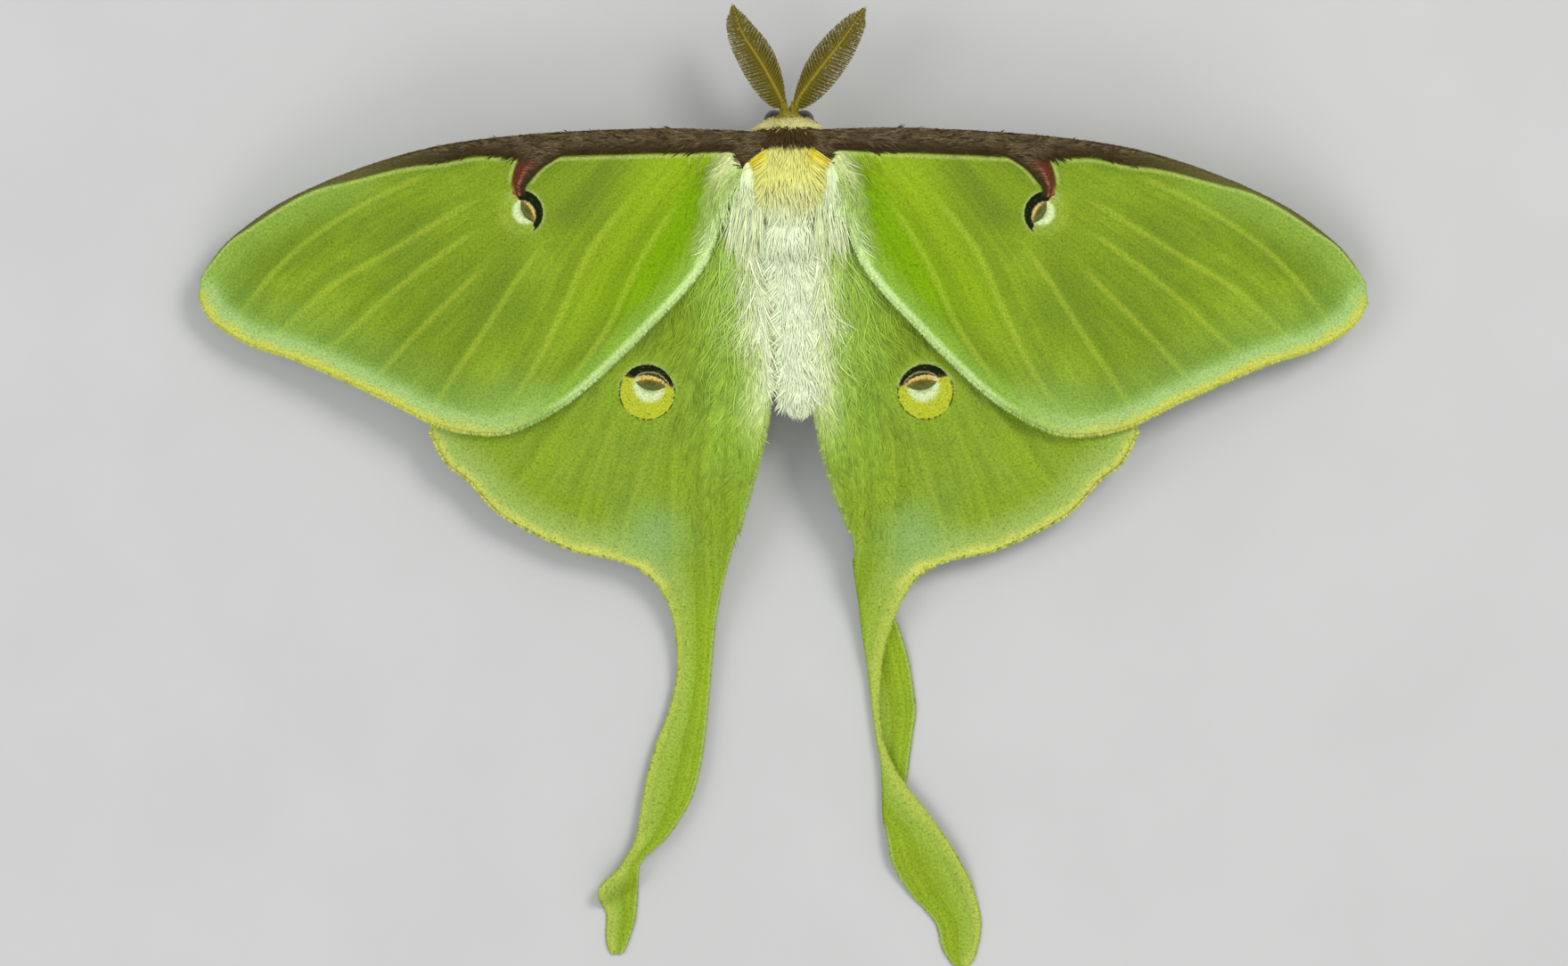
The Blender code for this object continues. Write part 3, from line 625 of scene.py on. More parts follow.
def vein_relief(place, spacing, veined):
    """Height of a wing's surface: veins stand up a little and the skin sinks between them."""
    off = np.abs(place - np.round(place))
    return veined * (0.07 * hump((off * spacing, 0.0, 0.3)) - 0.16 * np.sin(math.pi * off) ** 2)


class Wing:
    """A wing as a grid of places, with its markings' measures at each of them.

    chart holds the upper sheet's places on the map OFBake; the lower sheet lies chart_step further.
    """

    def __init__(self, side, surface, flat, values, half_thick, edge):
        self.side, self.surface, self.flat, self.values = side, surface, flat, values
        across = np.gradient(surface, axis=1)
        self.outward = unit(across)
        normal = unit(np.cross(np.gradient(surface, axis=0), across))
        self.normal = normal if np.median(normal[..., 2]) > 0 else -normal
        inside = np.clip(edge / WING_EDGE, 0, 1)
        self.half = half_thick * np.sqrt(np.clip(1 - (1 - inside) ** 2, 0.02, 1))
        self.rows, self.columns = surface.shape[0] - 1, surface.shape[1] - 1
        low = flat.reshape(-1, 2).min(axis=0)
        size = flat.reshape(-1, 2).max(axis=0) - low
        beside = np.array((1.0, 0.0) if size[0] < size[1] else (0.0, 1.0))
        scale = 0.98 / (size * (1 + 1.04 * beside)).max()
        self.chart, self.chart_step = (flat - low) * scale + 0.01, size * 1.02 * scale * beside

    def skin(self, name, material):
        """The closed skin: an upper and a lower sheet that meet along the outline."""
        rows, columns = self.surface.shape[:2]
        rim = np.zeros((rows, columns), bool)
        rim[0], rim[-1], rim[:, 0], rim[:, -1] = True, True, True, True
        lift = self.normal * np.where(rim, 0.0, self.half)[..., None]
        upper = np.arange(rows * columns).reshape(rows, columns)
        lower = upper.copy()
        lower[~rim] = rows * columns + np.arange((~rim).sum())
        vertices = np.vstack([(self.surface + lift).reshape(-1, 3), (self.surface - lift)[~rim]])
        values = {key: np.concatenate([grid.reshape(-1, *grid.shape[2:]), grid[~rim]])
                  for key, grid in self.values.items()}
        top, bottom = grid_faces(upper), grid_faces(lower)
        uvs, under = ((self.chart + step).reshape(-1, 2)[top] for step in (0.0, self.chart_step))
        corners = vertices[top[:, :3]]
        turned = np.cross(corners[:, 1] - corners[:, 0], corners[:, 2] - corners[:, 0])
        if np.median(turned[:, 2]) > 0:
            bottom, under = bottom[:, ::-1], under[:, ::-1]
        else:
            top, uvs = top[:, ::-1], uvs[:, ::-1]
        return make_piece(name, vertices, np.vstack([top, bottom]).tolist(), material, values,
                          np.vstack([uvs.reshape(-1, 2), under.reshape(-1, 2)]))

    def at(self, along, across, upper=True):
        """Places on the skin: position, normal, outward direction, values and OFBake places."""
        r, c = along * self.rows, across * self.columns
        r0 = np.clip(r.astype(int), 0, self.rows - 1)
        c0 = np.clip(c.astype(int), 0, self.columns - 1)
        fr, fc = r - r0, c - c0

        def look(grid):
            shape = (-1,) + (1,) * (grid.ndim - 2)
            wr, wc = fr.reshape(shape), fc.reshape(shape)
            return ((grid[r0, c0] * (1 - wr) + grid[r0 + 1, c0] * wr) * (1 - wc)
                    + (grid[r0, c0 + 1] * (1 - wr) + grid[r0 + 1, c0 + 1] * wr) * wc)

        sign = 1.0 if upper else -1.0
        normal = unit(look(self.normal))
        return {"position": look(self.surface) + sign * normal * look(self.half)[:, None],
                "normal": sign * normal, "outward": unit(look(self.outward)),
                "chart": look(self.chart) + (0.0 if upper else 1.0) * self.chart_step,
                "values": {key: look(grid) for key, grid in self.values.items()}}


def spot_places(flat, spot):
    """Places around an eyespot, in units of its radius and turned upright."""
    x, y, radius, turn = spot
    u, v = (flat[..., 0] - x) / radius, (flat[..., 1] - y) / radius
    cos, sin = math.cos(turn), math.sin(turn)
    return np.stack([u * cos + v * sin, -u * sin + v * cos], axis=-1)


def inset_shares(width, columns):
    """Even shares of rows that end FRINGE_ROOM inside both ends of each row's width."""
    share = np.linspace(0.0, 1.0, columns + 1)[None, :]
    cut = np.minimum(FRINGE_ROOM / np.maximum(width, 1e-6), 0.2)[:, None]
    return cut + (1 - 2 * cut) * share


def forewing(side):
    rows, columns = FORE_GRID
    front, rear = even_curve(FOREWING_FRONT, rows + 1), even_curve(FOREWING_REAR, rows + 1)
    shares = inset_shares(np.linalg.norm(rear - front, axis=1), columns)[..., None]
    flat = front[:, None] * (1 - shares) + rear[:, None] * shares
    x, y = flat[..., 0], flat[..., 1]
    margin = off_line(flat, even_curve(FOREWING_REAR, 90))
    leading = off_line(flat, even_curve(FOREWING_FRONT, 60))
    place, spacing = among_veins(flat, FOREWING_VEINS)
    starts = np.interp(place, np.arange(len(FOREWING_VEINS)), FOREWING_VEIN_STARTS)
    veined = smoothstep((x - starts) / 2.5) * between(-0.75, -0.4, place) * between(6.8, 6.3, place)
    off_stalk, stalk_half = x - along_stations(STALK, y, 1), along_stations(STALK, y, 2)
    stalk = np.minimum(stalk_half - np.abs(off_stalk), y - STALK[0][0])
    values = {
        "flat": flat, "margin": margin, "vein": place, "spacing": spacing, "veined": veined,
        "costal": np.maximum(y - along_stations(COSTAL_BORDER, x), stalk),
        "stalk": off_stalk / stalk_half, "outer": between(19.0, 26.0, x),
        "lush": (hump((off_line(flat, LUSH_LINE), 0.0, 3.9)) * between(4.6, 6.6, x)
                 * between(1.0, 2.8, margin) * between(12.0, 18.0, y)),
        # yellow: a painted highlight on the wing's pleats, a lighter streak just behind the sixth vein
        # near the root and a weaker one between the third and fourth veins
        "yellow": (hump((place, 5.2, 0.8)) * between(24.0, 13.0, x)
                   + 0.6 * hump((place, 2.6, 1.2)) * between(40.0, 28.0, x)) * between(1, 4, margin),
        "pale": between(7.6, 5.2, x + 0.2 * (y - 26.0)) * between(18.0, 22.0, y),
        "cell": np.clip(np.maximum(
            between(11.0, 16.0, x) * between(26.0, 22.0, x) * between(22.0, 24.5, y),
            hump((place, 2.9, 0.8)) * between(21, 24, x) * between(41, 31, x))
            + 0.55 * hump((x, 28.0, 4.0), (y, 19.0, 4.0)), 0, 1),
        "mint": hump((x, 23.5, 5.5), (y, 6.5, 2.6)),
        "white": between(5.6, 8.6, y) * (0.75 + 0.25 * between(14.0, 19.0, y)),
        "spot": spot_places(flat, FORE_SPOT),
    }
    turn = FOREWING_TURN[side]
    swing = np.array(((math.cos(turn), math.sin(turn)), (-math.sin(turn), math.cos(turn))))
    turned = (flat - FOREWING_PIVOT) @ swing + FOREWING_PIVOT
    level = wing_level(turned[..., 0], turned[..., 1]) + vein_relief(place, spacing, veined)
    level += 0.12 * smoothstep(1 - leading / 2.2) - 0.05 * np.sin(x * 0.5) * between(6.0, 0.0, margin)
    surface = np.stack([side * turned[..., 0], turned[..., 1], level], axis=-1)
    rod = between(2.6, 1.2, leading) * between(50.0, 30.0, x)
    return Wing(side, surface, flat, values, WING_HALF_THICK["fore"] + 0.32 * rod,
                np.minimum(margin, leading * 0.7))


def hindwing(side):
    """The hindwing with its tail, whose inner edge may be folded under."""
    front_rows, margin_rows, tail_rows = HIND_ROWS
    edges = TAIL_EDGES[side]
    share = np.linspace(0.0, 1.0, tail_rows + 1)
    tail_y = edges[0][0] + (edges[-1][0] + FRINGE_ROOM - edges[0][0]) * (1 - (1 - share) ** 1.35)
    inner_tail, outer_tail = (np.stack([along_stations(edges, tail_y, k), tail_y], 1) for k in (1, 2))
    inner_line = np.vstack([even_curve(HINDWING_INNER[side], front_rows + margin_rows + 1), inner_tail])
    outer_line = np.vstack([even_curve(HINDWING_FRONT, front_rows + 1)[:-1],
                            even_curve(HINDWING_MARGIN, margin_rows + 1), outer_tail])
    width = np.linalg.norm(outer_line - inner_line, axis=1)
    direction = (outer_line - inner_line) / width[:, None]
    under = along_stations(FOLDED_UNDER[side], inner_line[:, 1])
    folded = np.sqrt(np.maximum((FOLD_ROUND + under) ** 2 - FOLD_ROUND ** 2, 0))
    first = np.where(under > 0, -folded, -under)
    nearest = np.where(under > 0, FOLD_ROUND, np.hypot(first, FOLD_ROUND))
    last = np.sqrt((width + nearest) ** 2 - FOLD_ROUND ** 2)
    way = first[:, None] + (last - first)[:, None] * inset_shares(last - first, HIND_COLUMNS)
    reach = np.hypot(way, FOLD_ROUND)
    ground = inner_line[:, None] + direction[:, None] * (reach - nearest[:, None])[..., None]
    flat = inner_line[:, None] + direction[:, None] * (way - np.maximum(first, 0)[:, None])[..., None]
    fold = smoothstep((under - FOLD_OPENS[0]) / (FOLD_OPENS[1] - FOLD_OPENS[0]))
    drop = FOLD_RISE * (1 - way / reach) * fold[:, None]

    x, y = ground[..., 0], ground[..., 1]
    on_tail = between(-6.5, -11.5, inner_line[:, 1])[:, None] * np.ones(x.shape)
    tail_level = along_stations(TAIL_LEVEL[side], y)
    if side < 0:
        crease = unit(CREASE_TO - CREASE_FROM)
        past = (ground - CREASE_FROM) @ np.array((crease[1], -crease[0]))
        tail_level = FLOOR_CLEAR + (tail_level - FLOOR_CLEAR) * (1 - smoothstep(past / CREASE_DROP))
    level = wing_level(x, y) - HIND_BELOW
    level = level + (tail_level - level) * between(-9.4, -10.8, y)

    outer_margin = off_line(flat, np.vstack([even_curve(HINDWING_MARGIN, 60), outer_tail]))
    inner_margin = way - first[:, None]
    margin = np.minimum(outer_margin, inner_margin)
    place, spacing = among_veins(flat, HINDWING_VEINS)
    vein_gap = TAIL_VEINS[0] - TAIL_VEINS[1]
    tail_place = 4 + (TAIL_VEINS[0] - inner_margin / (last - first)[:, None]) / vein_gap
    place = place + (tail_place - place) * on_tail
    spacing = spacing + (vein_gap * (last - first)[:, None] - spacing) * on_tail
    by_spot = np.exp(-((flat - HIND_SPOT[side][:2]) ** 2).sum(axis=-1) / 3.2 ** 2)
    veined = (between(17.0, 8.0, y) * between(-0.8, -0.4, place) * between(5.9, 5.4, place)
              * (1 - by_spot) * (0.7 - 0.25 * on_tail))
    values = {
        "flat": flat, "margin": margin, "vein": place, "spacing": np.maximum(spacing, 0.4),
        "veined": veined, "outer": smoothstep((inner_margin - outer_margin) / 1.2 + 0.5),
        "lush": 0.9 * between(8.8, 3.4, inner_margin) * between(-4.0, 15.0, y),
        "rim": 1 - 0.6 * on_tail, "yellow": 0.7 * on_tail,
        "cell": 0.35 * on_tail * between(-18.0, -40.0, y),
        "pale": between(3.4, 0.9, inner_margin) * between(2.0, 12.0, y),
        "white": 0.9 * between(1.9, 0.6, inner_margin) * between(6.0, 12.0, y),
        "mint": hump((flat[..., 0], 11.6, 2.8), (flat[..., 1], -4.4, 2.6)),
        "spot": spot_places(flat, HIND_SPOT[side]),
    }
    level = level + vein_relief(place, spacing, veined)
    ripple = 0.28 * np.sin(x * 0.42 + y * 0.3) * between(0.0, 6.0, margin) * (1 - on_tail)
    level = np.maximum(level + ripple * between(16.0, 6.0, y) - drop, FLOOR_CLEAR - 0.07)
    leading = off_line(flat, even_curve(HINDWING_FRONT, 40))
    end_gap = np.linalg.norm(flat - flat[-1, HIND_COLUMNS // 2], axis=-1)
    edge = np.minimum(np.minimum(margin, leading), np.maximum(end_gap - 0.3, 0.02))
    surface = np.stack([side * x, y, level], axis=-1)
    return Wing(side, surface, flat, values, WING_HALF_THICK["hind"], edge)


# ---------------------------------------------------------------- fur and scales

PATCH = 0.003          # width of a lock's place on the map OFBake
LOCK_SIDES = 3
LOCK_DEPTH = 0.06      # how deep a lock starts in the skin
LOWEST = 0.06          # no lock or claw reaches lower over the floor
HAIR_SPREAD = 0.25     # how far the hairs of a wing turn aside, in radians
LOCK_SIZES = ("length", "width", "lift", "droop", "curl")


def lock_sizes(rng, count, curl, **ranges):
    """Random sizes of locks: each range is (base, lowest and highest share of it)."""
    sizes = {key: base * rng.uniform(low, high, count) for key, (base, low, high) in ranges.items()}
    return {**sizes, "curl": rng.normal(0, curl, count)}


def make_locks(name, roots, material, rings=3, clump=0.0, seed=1, soft=0.7):
    """One mesh of tapering three-sided locks.

    roots holds, for each lock: position, normal, lie, length, width, lift, droop, curl, chart and
    values. A lock leaves its root along its lie, rises by lift and sinks again by droop. The more
    soft it is, the more it is shaded like the skin under it, so that the coat looks downy; where
    roots hold facing, that direction stands for the skin's.
    """
    rng = np.random.default_rng(seed)
    position, normal = roots["position"], unit(roots["normal"])
    length, width, lift, droop, curl = (roots[key][:, None] for key in LOCK_SIZES)
    lie = upright(roots["lie"], normal)
    sideways = np.cross(lie, normal)
    count = len(position)
    t = np.arange(rings + 1) / rings
    rise, bend = lift * t - droop * t ** 2, curl * t ** 2
    path = (position[:, None] - normal[:, None] * LOCK_DEPTH
            + length[..., None] * (lie[:, None] * t[None, :, None] + normal[:, None] * rise[..., None]
                                   + sideways[:, None] * bend[..., None]))
    if clump > 0 and count > 20:
        chosen = rng.choice(count, max(count // 9, 2), replace=False)
        tree = kdtree.KDTree(len(chosen))
        for number, which in enumerate(chosen):
            tree.insert(position[which], number)
        tree.balance()
        leader = chosen[[tree.find(p)[1] for p in position]]
        pull = (path[leader, -1] - path[:, -1]) * clump
        path = path + pull[:, None] * (t ** 2)[None, :, None]
    path[..., 2] = np.maximum(path[..., 2], LOWEST)
    corners = np.array([(-1.0, 0.0), (1.0, 0.0), (0.0, 0.75)])

    def out_from(height):
        """The three corners' directions, seen from a height over the lock's flat side."""
        return corners[:, :1] * sideways[:, None] + (corners[:, 1:] - height) * normal[:, None]

    half = width / 2 * np.array([0.75, 1.0, 0.8, 0.55, 0.3] if rings > 2 else [0.9, 0.8])[:rings]
    body = path[:, :rings, None] + half[..., None, None] * out_from(0.0)[:, None]
    vertices = np.concatenate([body.reshape(count, -1, 3), path[:, -1:]], axis=1)
    each = vertices.shape[1]
    # The faces of one lock and their places on OFBake: the sides, then the foot and the tip
    end = each - 1 - LOCK_SIDES
    sides = [(j, (j + 1) % LOCK_SIDES, j / LOCK_SIDES, (j + 1) / LOCK_SIDES) for j in range(LOCK_SIDES)]
    quads = [(k + n, k + j, k + LOCK_SIDES + j, k + LOCK_SIDES + n)
             for k in range(0, end, LOCK_SIDES) for j, n, _, _ in sides]
    quad_uv = [((v, low), (u, low), (u, high), (v, high))
               for low, high in zip(t[:-2], t[1:]) for _, _, u, v in sides]
    tris = [(0, 1, 2)] + [(end + n, end + j, each - 1) for j, n, _, _ in sides]
    tri_uv = [((0.0, 0.0), (0.5, 0.1), (1.0, 0.0))]
    tri_uv += [((v, t[-2]), (u, t[-2]), ((j + 0.5) / LOCK_SIDES, 1.0)) for j, _, u, v in sides]
    start = (np.arange(count) * each)[:, None, None]
    faces = [face for kind in (quads, tris)
             for face in (start + kind).reshape(-1, len(kind[0])).tolist()]
    chart = roots["chart"][:, None, None]
    uvs = np.vstack([(chart + (np.array(kind)[None] - 0.5) * PATCH).reshape(-1, 2)
                     for kind in (quad_uv, tri_uv)])
    values = {key: np.repeat(array, each, axis=0) for key, array in roots["values"].items()}
    values["shade"] = np.repeat(rng.uniform(-0.5, 0.5, count), each)
    facing = roots.get("facing", normal)
    shaded = unit(soft * facing[:, None] + (1 - soft) * unit(out_from(0.25)))
    shaded = np.concatenate([np.tile(shaded, (1, rings, 1)), facing[:, None]], axis=1)
    piece = make_piece(name, vertices.reshape(-1, 3), faces, material, values, uvs)
    piece.data.normals_split_custom_set_from_vertices(shaded.reshape(-1, 3).tolist())
    return piece


def pick(roots, keep):
    """The roots for which keep is true."""
    return {key: pick(value, keep) if key == "values" else value[keep] for key, value in roots.items()}


def merged(*several):
    """Several sets of roots as one."""
    parts = {key: [roots[key] for roots in several] for key in several[0]}
    return {key: merged(*part) if key == "values" else np.concatenate(part)
            for key, part in parts.items()}


def coat(name, slot, material, roots, **options):
    """A piece of the coat, made of locks."""
    dress(make_locks(name, roots, material, **options), slot)


def wing_roots(wing, count, seed, density, direction, length, width, lift=0.25, droop=0.2, curl=0.15,
               upper=True, tries=6):
    """Roots of hairs on a wing.

    direction and length are functions of its flat places x and y, and density also of its values.
    """
    rng = np.random.default_rng(seed)
    along, across = rng.uniform(0.01, 0.99, (2, count * tries))
    found = wing.at(along, across, upper)
    widths = np.linalg.norm(wing.flat[:, -1] - wing.flat[:, 0], axis=1)
    area = np.interp(along, np.linspace(0, 1, wing.rows + 1), widths / widths.max())
    wanted = density(*found["values"]["flat"].T, found["values"]) * area
    found = pick(found, np.flatnonzero(rng.uniform(size=len(along)) < wanted)[:count])
    flat = found["values"]["flat"]
    turn = rng.normal(0, HAIR_SPREAD, len(flat)) + 0.35 * wave(flat, 0.9, seed)
    cos, sin = np.cos(turn), np.sin(turn)
    out, up = direction(*flat.T)
    found["lie"] = stacked(wing.side * (out * cos - up * sin), out * sin + up * cos, 0.0)
    return {**found, **lock_sizes(rng, len(flat), curl, length=(length(*flat.T), 0.7, 1.25),
                                  width=(width, 0.75, 1.3), lift=(lift, 0.5, 1.5),
                                  droop=(droop, 0.6, 1.3))}


def edge_roots(wing, count, seed, edge, length, width, span=(0.0, 1.0), spread=0.35):
    """Roots of the fringe along a long edge of a wing: its first column for edge 0, its last for 1."""
    rng = np.random.default_rng(seed)
    way = travelled(wing.surface[:, -edge])
    shares = np.linspace(0, 1, wing.rows + 1)
    low, high = np.interp(span, shares, way)
    along, across = np.interp(rng.uniform(low, high, count), way, shares), np.full(count, float(edge))
    found = wing.at(along, across)
    ahead, behind = (wing.at(np.clip(along + step, 0, 1), across)["position"]
                     for step in (0.002, -0.002))
    tangent = unit(ahead - behind)
    outward = upright(found["outward"] * (1 if edge else -1), tangent)
    normal = found["normal"]
    found["lie"] = outward + tangent * rng.normal(0.15, spread, count)[:, None]
    sunk = normal * rng.uniform(0.0, 0.12, count)[:, None]
    found["position"] = found["position"] - outward * 0.12 - sunk
    found["normal"] = normal * np.where(normal[:, 2:] < 0, -1.0, 1.0)
    found["length"] = length * rng.uniform(0.6, 1.3, count)
    found["width"] = width * rng.uniform(0.75, 1.3, count)
    for key, middle, by in (("lift", 0.0, 0.12), ("droop", 0.1, 0.1), ("curl", 0.0, 0.15)):
        found[key] = rng.normal(middle, by, count)
    return found


# ---------------------------------------------------------------- the body

def blunt(t, power):
    return np.clip(1.0 - np.abs(t) ** power, 0.0, None) ** (1.0 / power)


def thorax_shape(t, angle, grow):
    t = np.sin(t * math.pi / 2)
    y = (THORAX_FRONT + THORAX_REAR) / 2 + ((THORAX_FRONT - THORAX_REAR) / 2 + grow) * t
    width = (THORAX_HALF_WIDTH + grow) * blunt(t, 2.9) * (1 - 0.1 * smoothstep(-t))
    height = (THORAX_HALF_HEIGHT + grow) * blunt(t, 2.5)
    return np.stack([TRUNK_X + width * np.cos(angle), y,
                     THORAX_Z + THORAX_LIFT * smoothstep(t) + height * np.sin(angle)], axis=-1)


def abdomen_axis(y):
    share = smoothstep((ABDOMEN_FRONT - y) / (ABDOMEN_FRONT - ABDOMEN_TIP))
    return TRUNK_X + ABDOMEN_LEAN * share, ABDOMEN_Z - ABDOMEN_SAG * share


def abdomen_shape(t, angle, grow):
    t = np.sin(t * math.pi / 2)
    y = (ABDOMEN_FRONT + ABDOMEN_TIP) / 2 + ((ABDOMEN_FRONT - ABDOMEN_TIP) / 2 + grow) * t
    rings = 0.07 * np.abs(np.sin((y - ABDOMEN_TIP) * math.pi / 2.45)) ** 0.5
    radius = (along_stations(ABDOMEN_RADII, y) + grow - 0.05 + rings) * blunt(t, 5.0)
    x, z = abdomen_axis(y)
    return np.stack([x + radius * np.cos(angle), y, z + 0.95 * radius * np.sin(angle)], axis=-1)


def head_shape(t, angle, grow):
    ring = np.sqrt(np.clip(1 - t * t, 0, None))
    radii = HEAD_RADII + grow
    up = np.sin(angle)
    crown = smoothstep(up) * smoothstep(1.3 - np.abs(t - 0.35))
    mouth = smoothstep(-up) * smoothstep(t + 0.6)
    return np.stack([HEAD_CENTRE[0] + radii[0] * ring * np.cos(angle) * (1 - 0.28 * mouth),
                     HEAD_CENTRE[1] + radii[1] * t,
                     HEAD_CENTRE[2] + radii[2] * ring * up + 0.5 * crown - 0.35 * mouth], axis=-1)


def ball(shape, grow, around=48, lengthways=48):
    """Vertices and faces of a closed round form, shape(t, angle, grow) from end to end."""
    t = np.cos(np.linspace(math.pi, 0, lengthways + 1))[1:-1]
    angle = np.arange(around) / around * 2 * math.pi
    tt, aa = np.meshgrid(t, angle, indexing="ij")
    body = shape(tt, aa, grow).reshape(-1, 3)
    ends = shape(np.array([-1.0, 1.0]), np.zeros(2), grow)
    index = np.arange(len(body)).reshape(len(t), around)
    index = np.hstack([index, index[:, :1]])
    faces = [tuple(face) for face in grid_faces(index)]
    low, high = len(body), len(body) + 1
    faces += [(low, index[0, k + 1], index[0, k]) for k in range(around)]
    faces += [(high, index[-1, k], index[-1, k + 1]) for k in range(around)]
    return np.vstack([body, ends]), [face[::-1] for face in faces]


def sided_curve(side, points, count=60):
    """A curve through points given for the right side, with x from the body's middle line."""
    return even_curve([(TRUNK_X + side * x, y, z) for x, y, z in points], count)


def leg_radius(share):
    """A leg's skin: a stout thigh, a thinner shin and a foot of five short joints."""
    stations = [(0.0, 0.50), (0.3, 0.42), (0.5, 0.30), (0.66, 0.22), (1.0, 0.15)]
    beads = 0.035 * np.sin(np.clip((share - 0.68) / 0.32, 0, 1) * 5 * math.pi) ** 2
    knees = 0.05 * np.exp(-((share - 0.36) / 0.04) ** 2) + 0.05 * np.exp(-((share - 0.66) / 0.03) ** 2)
    return along_stations(stations, share) + beads + knees


def body_skin():
    """Head, thorax, abdomen and legs grown into one closed skin."""
    parts = [ball(thorax_shape, -THORAX_COAT), ball(abdomen_shape, -ABDOMEN_COAT, 48, 90),
             ball(head_shape, -HEAD_COAT)]

    def stem(side, points, count, first, last, sides):
        parts.append(tube(sided_curve(side, points, count), np.linspace(first, last, count), sides))

    # The neck and the waist, and on each side a palp, a feeler's socket and the legs
    stem(0, [(0, 30.5, 7.0), (0, 31.6, 6.3), (0, 32.6, 5.8)], 8, 1.15, 1.15, 20)
    stem(0, [(0, 27.0, 6.9), (0, 23.0, 6.7)], 8, 2.1, 2.1, 24)
    for side, _ in SIDES:
        stem(side, [(0.35, 33.4, 4.7), (0.5, 34.1, 4.5), (0.55, 34.7, 4.75)], 10, 0.3, 0.16, 12)
        stem(side, [(0.42, 33.4, 6.7), (0.45, 34.0, 7.45)], 5, 0.42, 0.28, 12)
        for joints in LEGS.values():
            path = sided_curve(side, joints)
            parts.append(tube(path, leg_radius(np.linspace(0, 1, len(path))), 14))
    vertices, faces = joined(parts)
    mesh = bpy.data.meshes.new("rough_body")
    mesh.from_pydata(vertices.tolist(), [], faces)
    rough = bpy.data.objects.new("rough_body", mesh)
    bpy.context.scene.collection.objects.link(rough)
    remesh = rough.modifiers.new("one skin", "REMESH")
    remesh.mode = "VOXEL"
    remesh.voxel_size = BODY_VOXEL
    smooth = rough.modifiers.new("smooth", "SMOOTH")
    smooth.factor, smooth.iterations = 0.5, 3
    bpy.context.view_layer.update()
    grown = bpy.data.meshes.new_from_object(rough.evaluated_get(bpy.context.evaluated_depsgraph_get()))
    bpy.data.objects.remove(rough)
    vertices, normals = np.zeros((2, len(grown.vertices), 3))
    grown.vertices.foreach_get("co", vertices.ravel())
    grown.vertex_normals.foreach_get("vector", normals.ravel())
    faces = [tuple(polygon.vertices) for polygon in grown.polygons]
    bpy.data.meshes.remove(grown)
    vertices[:, 2] = np.maximum(vertices[:, 2], 0.03)
    return vertices, normals, faces


def near_leg(points):
    """The distance to the nearest leg's middle line, its direction, and the share of its length."""
    best = np.full(len(points), np.inf)
    ahead, share = np.zeros((len(points), 3)), np.zeros(len(points))
    for side, _ in SIDES:
        for joints in LEGS.values():
            path = sided_curve(side, joints, 40)
            steps = unit(np.gradient(path, axis=0))
            distance = np.linalg.norm(points[:, None] - path[None], axis=2)
            nearest = distance.argmin(axis=1)
            closer = distance.min(axis=1) < best
            best[closer] = distance.min(axis=1)[closer]
            ahead[closer] = steps[nearest[closer]]
            share[closer] = nearest[closer] / (len(path) - 1)
    return best, ahead, share


def body_values(points):
    """The shares of the fur's colours at places on the body."""
    x, y, z = points[:, 0] - TRUNK_X, points[:, 1], points[:, 2]
    uneven = 0.22 * wave(points, 1.6, 3)
    distance, _, share = near_leg(points)
    leg = between(1.0, 0.7, distance) * between(0.14, 0.24, share)
    white = 0.35 * between(27.6, 25.8, y + 1.6 * uneven) + 0.65 * between(25.6, 23.6, y + 1.6 * uneven)
    gold = hump((x, -3.0, 0.8), (y, 29.4, 0.9)) + hump((x, 2.3, 0.9), (y, 29.6, 0.9))
    top = between(4.8, 6.6, z)
    gold = np.maximum(gold * top, 0.15 * hump((np.abs(x), 2.9, 0.6), (y, 27.4, 1.6)) * top)
    front = 32.05 - 0.045 * x * x
    brown = (between(30.1, 30.6, y - 0.03 * x * x + uneven) * between(front + 0.15, front - 0.15, y)
             * between(4.4, 5.6, z))
    crown = between(33.15, 33.4, y) + between(6.4, 5.6, z) * between(31.6, 32.4, y)
    palp = between(5.4, 4.9, z) * between(32.6, 33.2, y)
    return {"place": points, "white": np.maximum(white, between(6.4, 4.6, z) * between(33.0, 31.0, y)),
            "gold": np.clip(gold, 0, 1), "brown": brown, "crown": np.clip(crown, 0, 1),
            "collar": between(front - 0.15, front + 0.15, y) * between(5.4, 6.6, z),
            "green": (between(2.6, 3.4, np.abs(x)) * between(28.6, 27.6, y)
                      * between(22.5, 24.0, y) * 0.9),
            "maroon": np.clip(leg + 0.75 * palp, 0, 1)}


def body_chart(points):
    """Places on the map OFBake: the body unrolled round its long axis, with the legs beside it."""
    distance, _, share = near_leg(points)
    leg = (distance < 1.0) & (share > 0.2)
    around = np.arctan2(points[:, 2] - 6.5, points[:, 0] - TRUNK_X) / (2 * math.pi) + 0.5
    length = (points[:, 1] - 5.0) / 31.0
    u, v = 0.01 + 0.98 * around, 0.01 + 0.78 * np.clip(length, 0, 1)
    leg_u = np.clip((points[:, 1] - 17.0) / 16.0, 0, 1) * 0.48 + 0.01 + 0.5 * (points[:, 0] > TRUNK_X)
    leg_v = 0.82 + 0.16 * np.clip(points[:, 2] / 6.0, 0, 1)
    return np.column_stack([np.where(leg, leg_u, u), np.where(leg, leg_v, v)])


